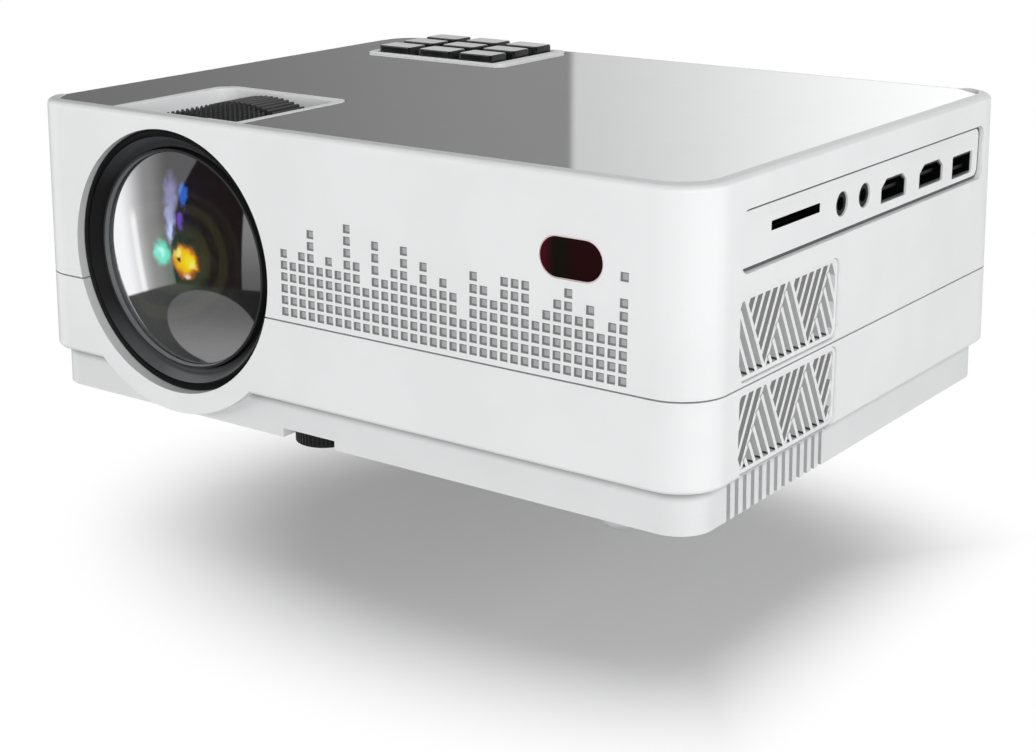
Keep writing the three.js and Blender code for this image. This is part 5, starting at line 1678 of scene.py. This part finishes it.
def painted_glowing_rings():
    """Rings painted on the blind, maroon at the rim and olive bands towards the middle, which glow:
    painted light.
    """
    made, start = blank_material("blind_painted_rings")
    x, _, z = start.place().parts()
    across = x - rings_middle[0]
    rise = z - rings_middle[1]
    reach = (across * across + rise * rise).math("SQRT") * 1000
    band = (reach * 0.9).math("SINE").between(-0.4, 0.4)
    olive = band.mixed((0.014, 0.014, 0.006, 1), (0.085, 0.088, 0.030, 1))
    paint = reach.between(19, 24).mixed(olive, (0.006, 0.001, 0.0015, 1))
    return principled(made, {
        "Base Color": paint,
        "Roughness": 0.35,
        "Emission Color": paint,
        "Emission Strength": 0.8,
    })


blind_profile = [(r * MM, blind_front + depth * MM) for r, depth in blind_steps]
blind = turned("lens_blind", blind_profile, painted_glowing_rings())
smooth(blind, 20)
dress(blind, "lens_group", "black_plastic")


# Feet
# Four soft grey rubber feet, pressed into the floor of the case at its corners. Each tapers to
# a flat underside.
foot_radius = 5.8 * MM
foot_flat = 4.35 * MM
foot_height = plinth_bottom - 0.1 * MM
foot_taper = foot_radius - foot_flat

grey_rubber = plastic(
    "grey_rubber",
    (0.48, 0.49, 0.50),
    roughness=0.75,
    grain=0.25,
    grain_scale=1800,
    tint=0.08,
    specular=0.3,
)
for name in ("front_left_foot", "front_right_foot", "rear_left_foot", "rear_right_foot"):
    foot_x, foot_y, _ = extents(name)
    middle = (sum(foot_x) / 2, sum(foot_y) / 2)
    loops = []
    for radius, z in ((foot_flat, 0), (foot_radius, foot_taper), (foot_radius, foot_height)):
        loops.append([(x, y, z) for x, y in circle(middle, radius, 48)])
    foot = stack(name, loops, grey_rubber)
    soften(foot, 0.3 * MM)
    dress(foot, "case", "grey_rubber", name)


# Screw foot
# A black thumbwheel in a slot of the plinth turns on a threaded stem, and moves the pad under it
# up and down to tilt the beam.
wheel_bottom, hub_top = extents("foot_wheel")[2]
wheel_top = 6.2 * MM
wheel_radius = 8.4 * MM
wheel_bore = 2.8 * MM
hub_radius = 5 * MM
grip_count = 44
grip_radius = 0.42 * MM
grip_bed = wheel_radius - grip_radius
grip_margin = 0.2 * MM
thread_radius = 2.5 * MM
thread_depth = 0.35 * MM
thread_bed = thread_radius - thread_depth
thread_pitch = 2 * MM
pad_radius = 5.5 * MM
pad_thickness = 0.5 * MM

wheel_span = (wheel_bottom, wheel_top)
foot_wheel = bar("foot_wheel", "Z", circle(wheel_place, grip_bed, 96), wheel_span, black_plastic)
hub_span = (wheel_top - fit_gap, hub_top)
hub = bar("hub", "Z", circle(wheel_place, hub_radius, 64), hub_span, black_plastic)
carve(foot_wheel, hub, operation="UNION")
bore_reach = grown((wheel_bottom, hub_top), MM)
bore = bar("bore", "Z", circle(wheel_place, wheel_bore, 48), bore_reach, black_plastic)
carve(foot_wheel, bore)
soften(foot_wheel, 0.2 * MM)
start, sizes = growth("grips", Around=8, Radius=0.008, Thick=0.0004, Low=0.0, Tall=0.003)
angle = start.node("GeometryNodeInputIndex") * (2 * math.pi) / sizes["Around"]
place = start.vector(
    X=angle.math("COSINE") * sizes["Radius"] + wheel_x,
    Y=angle.math("SINE") * sizes["Radius"] + wheel_y,
    Z=sizes["Low"],
)
points = start.node("GeometryNodePoints", {"Count": sizes["Around"], "Position": place})
grip = start.node("GeometryNodeMeshCylinder", {
    "Vertices": 8,
    "Radius": sizes["Thick"],
    "Depth": sizes["Tall"],
}, {"fill_type": "NGON"})
grips = sprout(
    "grips",
    copied(points, grip),
    black_plastic,
    Around=grip_count,
    Radius=grip_bed,
    Thick=grip_radius,
    Low=sum(wheel_span) / 2,
    Tall=wheel_top - wheel_bottom - 2 * grip_margin,
)
foot_wheel = joined("foot_thumbwheel", foot_wheel, grips)
dress(foot_wheel, "foot_knob", "black_plastic", "foot_wheel")

stem_low, stem_high = extents("foot_screw")[2]
pad_top = stem_low + pad_thickness
pad_outline = circle(wheel_place, pad_radius, 64)
foot_screw = bar("foot_screw", "Z", pad_outline, (stem_low, pad_top), black_plastic)
stem_span = (stem_low + fit_gap, stem_high)
stem = bar("stem", "Z", circle(wheel_place, thread_bed, 32), stem_span, black_plastic)
carve(foot_screw, stem, operation="UNION")
soften(foot_screw, fine_edge)
start, sizes = growth("thread", Radius=0.002, Turns=3.0, Tall=0.02, Thick=0.0003)
helix = start.node("GeometryNodeCurveSpiral", {
    "Resolution": 24,
    "Rotations": sizes["Turns"],
    "Start Radius": sizes["Radius"],
    "End Radius": sizes["Radius"],
    "Height": sizes["Tall"],
})
ridge_sockets = {"Resolution": 5, "Radius": sizes["Thick"]}
ridge = start.node("GeometryNodeCurvePrimitiveCircle", ridge_sockets)
wound_sockets = {"Curve": helix, "Profile Curve": ridge, "Fill Caps": True}
wound = start.node("GeometryNodeCurveToMesh", wound_sockets)
thread_foot = (wheel_x, wheel_y, pad_top + thread_depth)
raised = start.node("GeometryNodeTransform", {"Geometry": wound, "Translation": thread_foot})
thread_length = stem_high - pad_top - 2 * thread_depth
thread = sprout(
    "thread",
    raised,
    black_plastic,
    Radius=thread_bed,
    Turns=thread_length / thread_pitch,
    Tall=thread_length,
    Thick=thread_depth,
)
foot_screw = joined("foot_screw_threaded", foot_screw, thread)
dress(foot_screw, "foot_stem", "black_plastic", "foot_screw")


# Case screws
# Dark plated self-tapping screws with a cross recess, sunk in the floor at the four corners.
head_radius = 2.7 * MM
head_height = 2.2 * MM
shank_radius = 1.4 * MM
cross_length = 4.6 * MM
cross_width = 0.8 * MM


def metal(name, colour, roughness):
    """Plain metal, with a faint cloud in its colour and gloss."""
    made, start = blank_material(name)
    noise = {"Vector": start.place(), "Scale": 400.0, "Detail": 3.0}
    cloud = start.node("ShaderNodeTexNoise", noise)
    darker = [c * 0.85 for c in colour]
    return principled(made, {
        "Base Color": cloud.between(0.3, 0.7).mixed((*darker, 1), (*colour, 1)),
        "Metallic": 1.0,
        "Roughness": roughness + (cloud - 0.5) * 0.2,
    })


screw_steel = metal("screw_steel", (0.22, 0.22, 0.23), 0.4)
screw_names = ("front_left_screw", "rear_left_screw", "front_right_screw", "rear_right_screw")
for name, (x, y) in zip(screw_names, column_places):
    low, high = extents(name)[2]
    screw = bar(name, "Z", circle((x, y), head_radius, 32), (low, low + head_height), screw_steel)
    shank = bar("shank", "Z", circle((x, y), shank_radius, 24), (low + MM, high), screw_steel)
    carve(screw, shank, operation="UNION")
    cross_reach = around(low, 2 * MM)
    carve(
        screw,
        block("cross", around(x, cross_length), around(y, cross_width), cross_reach, screw_steel),
        block("cross", around(x, cross_width), around(y, cross_length), cross_reach, screw_steel),
    )
    soften(screw, 0.1 * MM)
    dress(screw, "case", "screw_steel", name)


# Mains inlet
# A black moulded inlet in the rear wall, with two plated pins in its socket.
inlet_span = extents("power_inlet")[1]
inlet_body_corner = 3.0 * MM
socket_size = (16 * MM, 9 * MM)
socket_corner = 4.3 * MM
socket_bottom = inlet_span[1] - 12 * MM
pin_radius = 1.2 * MM
pin_pitch = 8.6 * MM
pin_tip = inlet_span[1] - 2 * MM

inlet_body = rounded(
    around(inlet_middle[0], inlet_size[0] - 2 * fit_gap),
    around(inlet_middle[1], inlet_size[1] - 2 * fit_gap),
    inlet_body_corner,
    8,
)
power_inlet = bar("mains_inlet", "Y", inlet_body, inlet_span, black_plastic)
socket_x = around(inlet_middle[0], socket_size[0])
socket_z = around(inlet_middle[1], socket_size[1])
socket_outline = rounded(socket_x, socket_z, socket_corner, 12)
socket_reach = (socket_bottom, inlet_span[1] + MM)
carve(power_inlet, bar("socket", "Y", socket_outline, socket_reach, black_plastic))
soften(power_inlet, 0.2 * MM)
pin_metal = metal("pin_metal", (0.6, 0.6, 0.58), 0.3)
pins = []
for x in around(inlet_middle[0], pin_pitch):
    pin_outline = circle((x, inlet_middle[1]), pin_radius, 24)
    pins.append(bar("pin", "Y", pin_outline, (socket_bottom - fit_gap, pin_tip), pin_metal))
mains_inlet = joined("mains_inlet", power_inlet, *pins)
dress(mains_inlet, "case", "black_plastic", "power_inlet")


# Inner works
# The light engine, fans, boards and speaker keep their plain solids, and get their finishes
# here: black mouldings, green laminate, copper, aluminium and clear optics.
circuit_board = plastic(
    "circuit_board", (0.03, 0.16, 0.075), roughness=0.45, grain=0.2, grain_scale=700, tint=0.5
)
copper = metal("copper", (0.72, 0.40, 0.24), 0.35)
aluminium = metal("aluminium", (0.62, 0.63, 0.64), 0.4)
receiver_black = plastic("receiver_black", (0.012, 0.010, 0.012), roughness=0.15, grain=0.0)
clear_plastic = clear_glass("clear_plastic", (0.75, 0.78, 0.8), 0.25)
finishes = (
    (black_plastic, (
        "lens_mount", "optics_housing", "lcd_frame", "intake_fan_frame", "intake_fan_rotor",
        "exhaust_fan_frame", "exhaust_fan_rotor", "speaker",
    )),
    (circuit_board, ("keypad_board", "main_board", "power_board")),
    (copper, ("led_module",)),
    (aluminium, ("heat_sink",)),
    (receiver_black, ("ir_receiver",)),
    (glass, ("lcd_panel", "condenser_lens")),
    (clear_plastic, ("fresnel_lens",)),
)
for finish, names in finishes:
    for name in names:
        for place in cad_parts[name].material_slots:
            place.material = finish
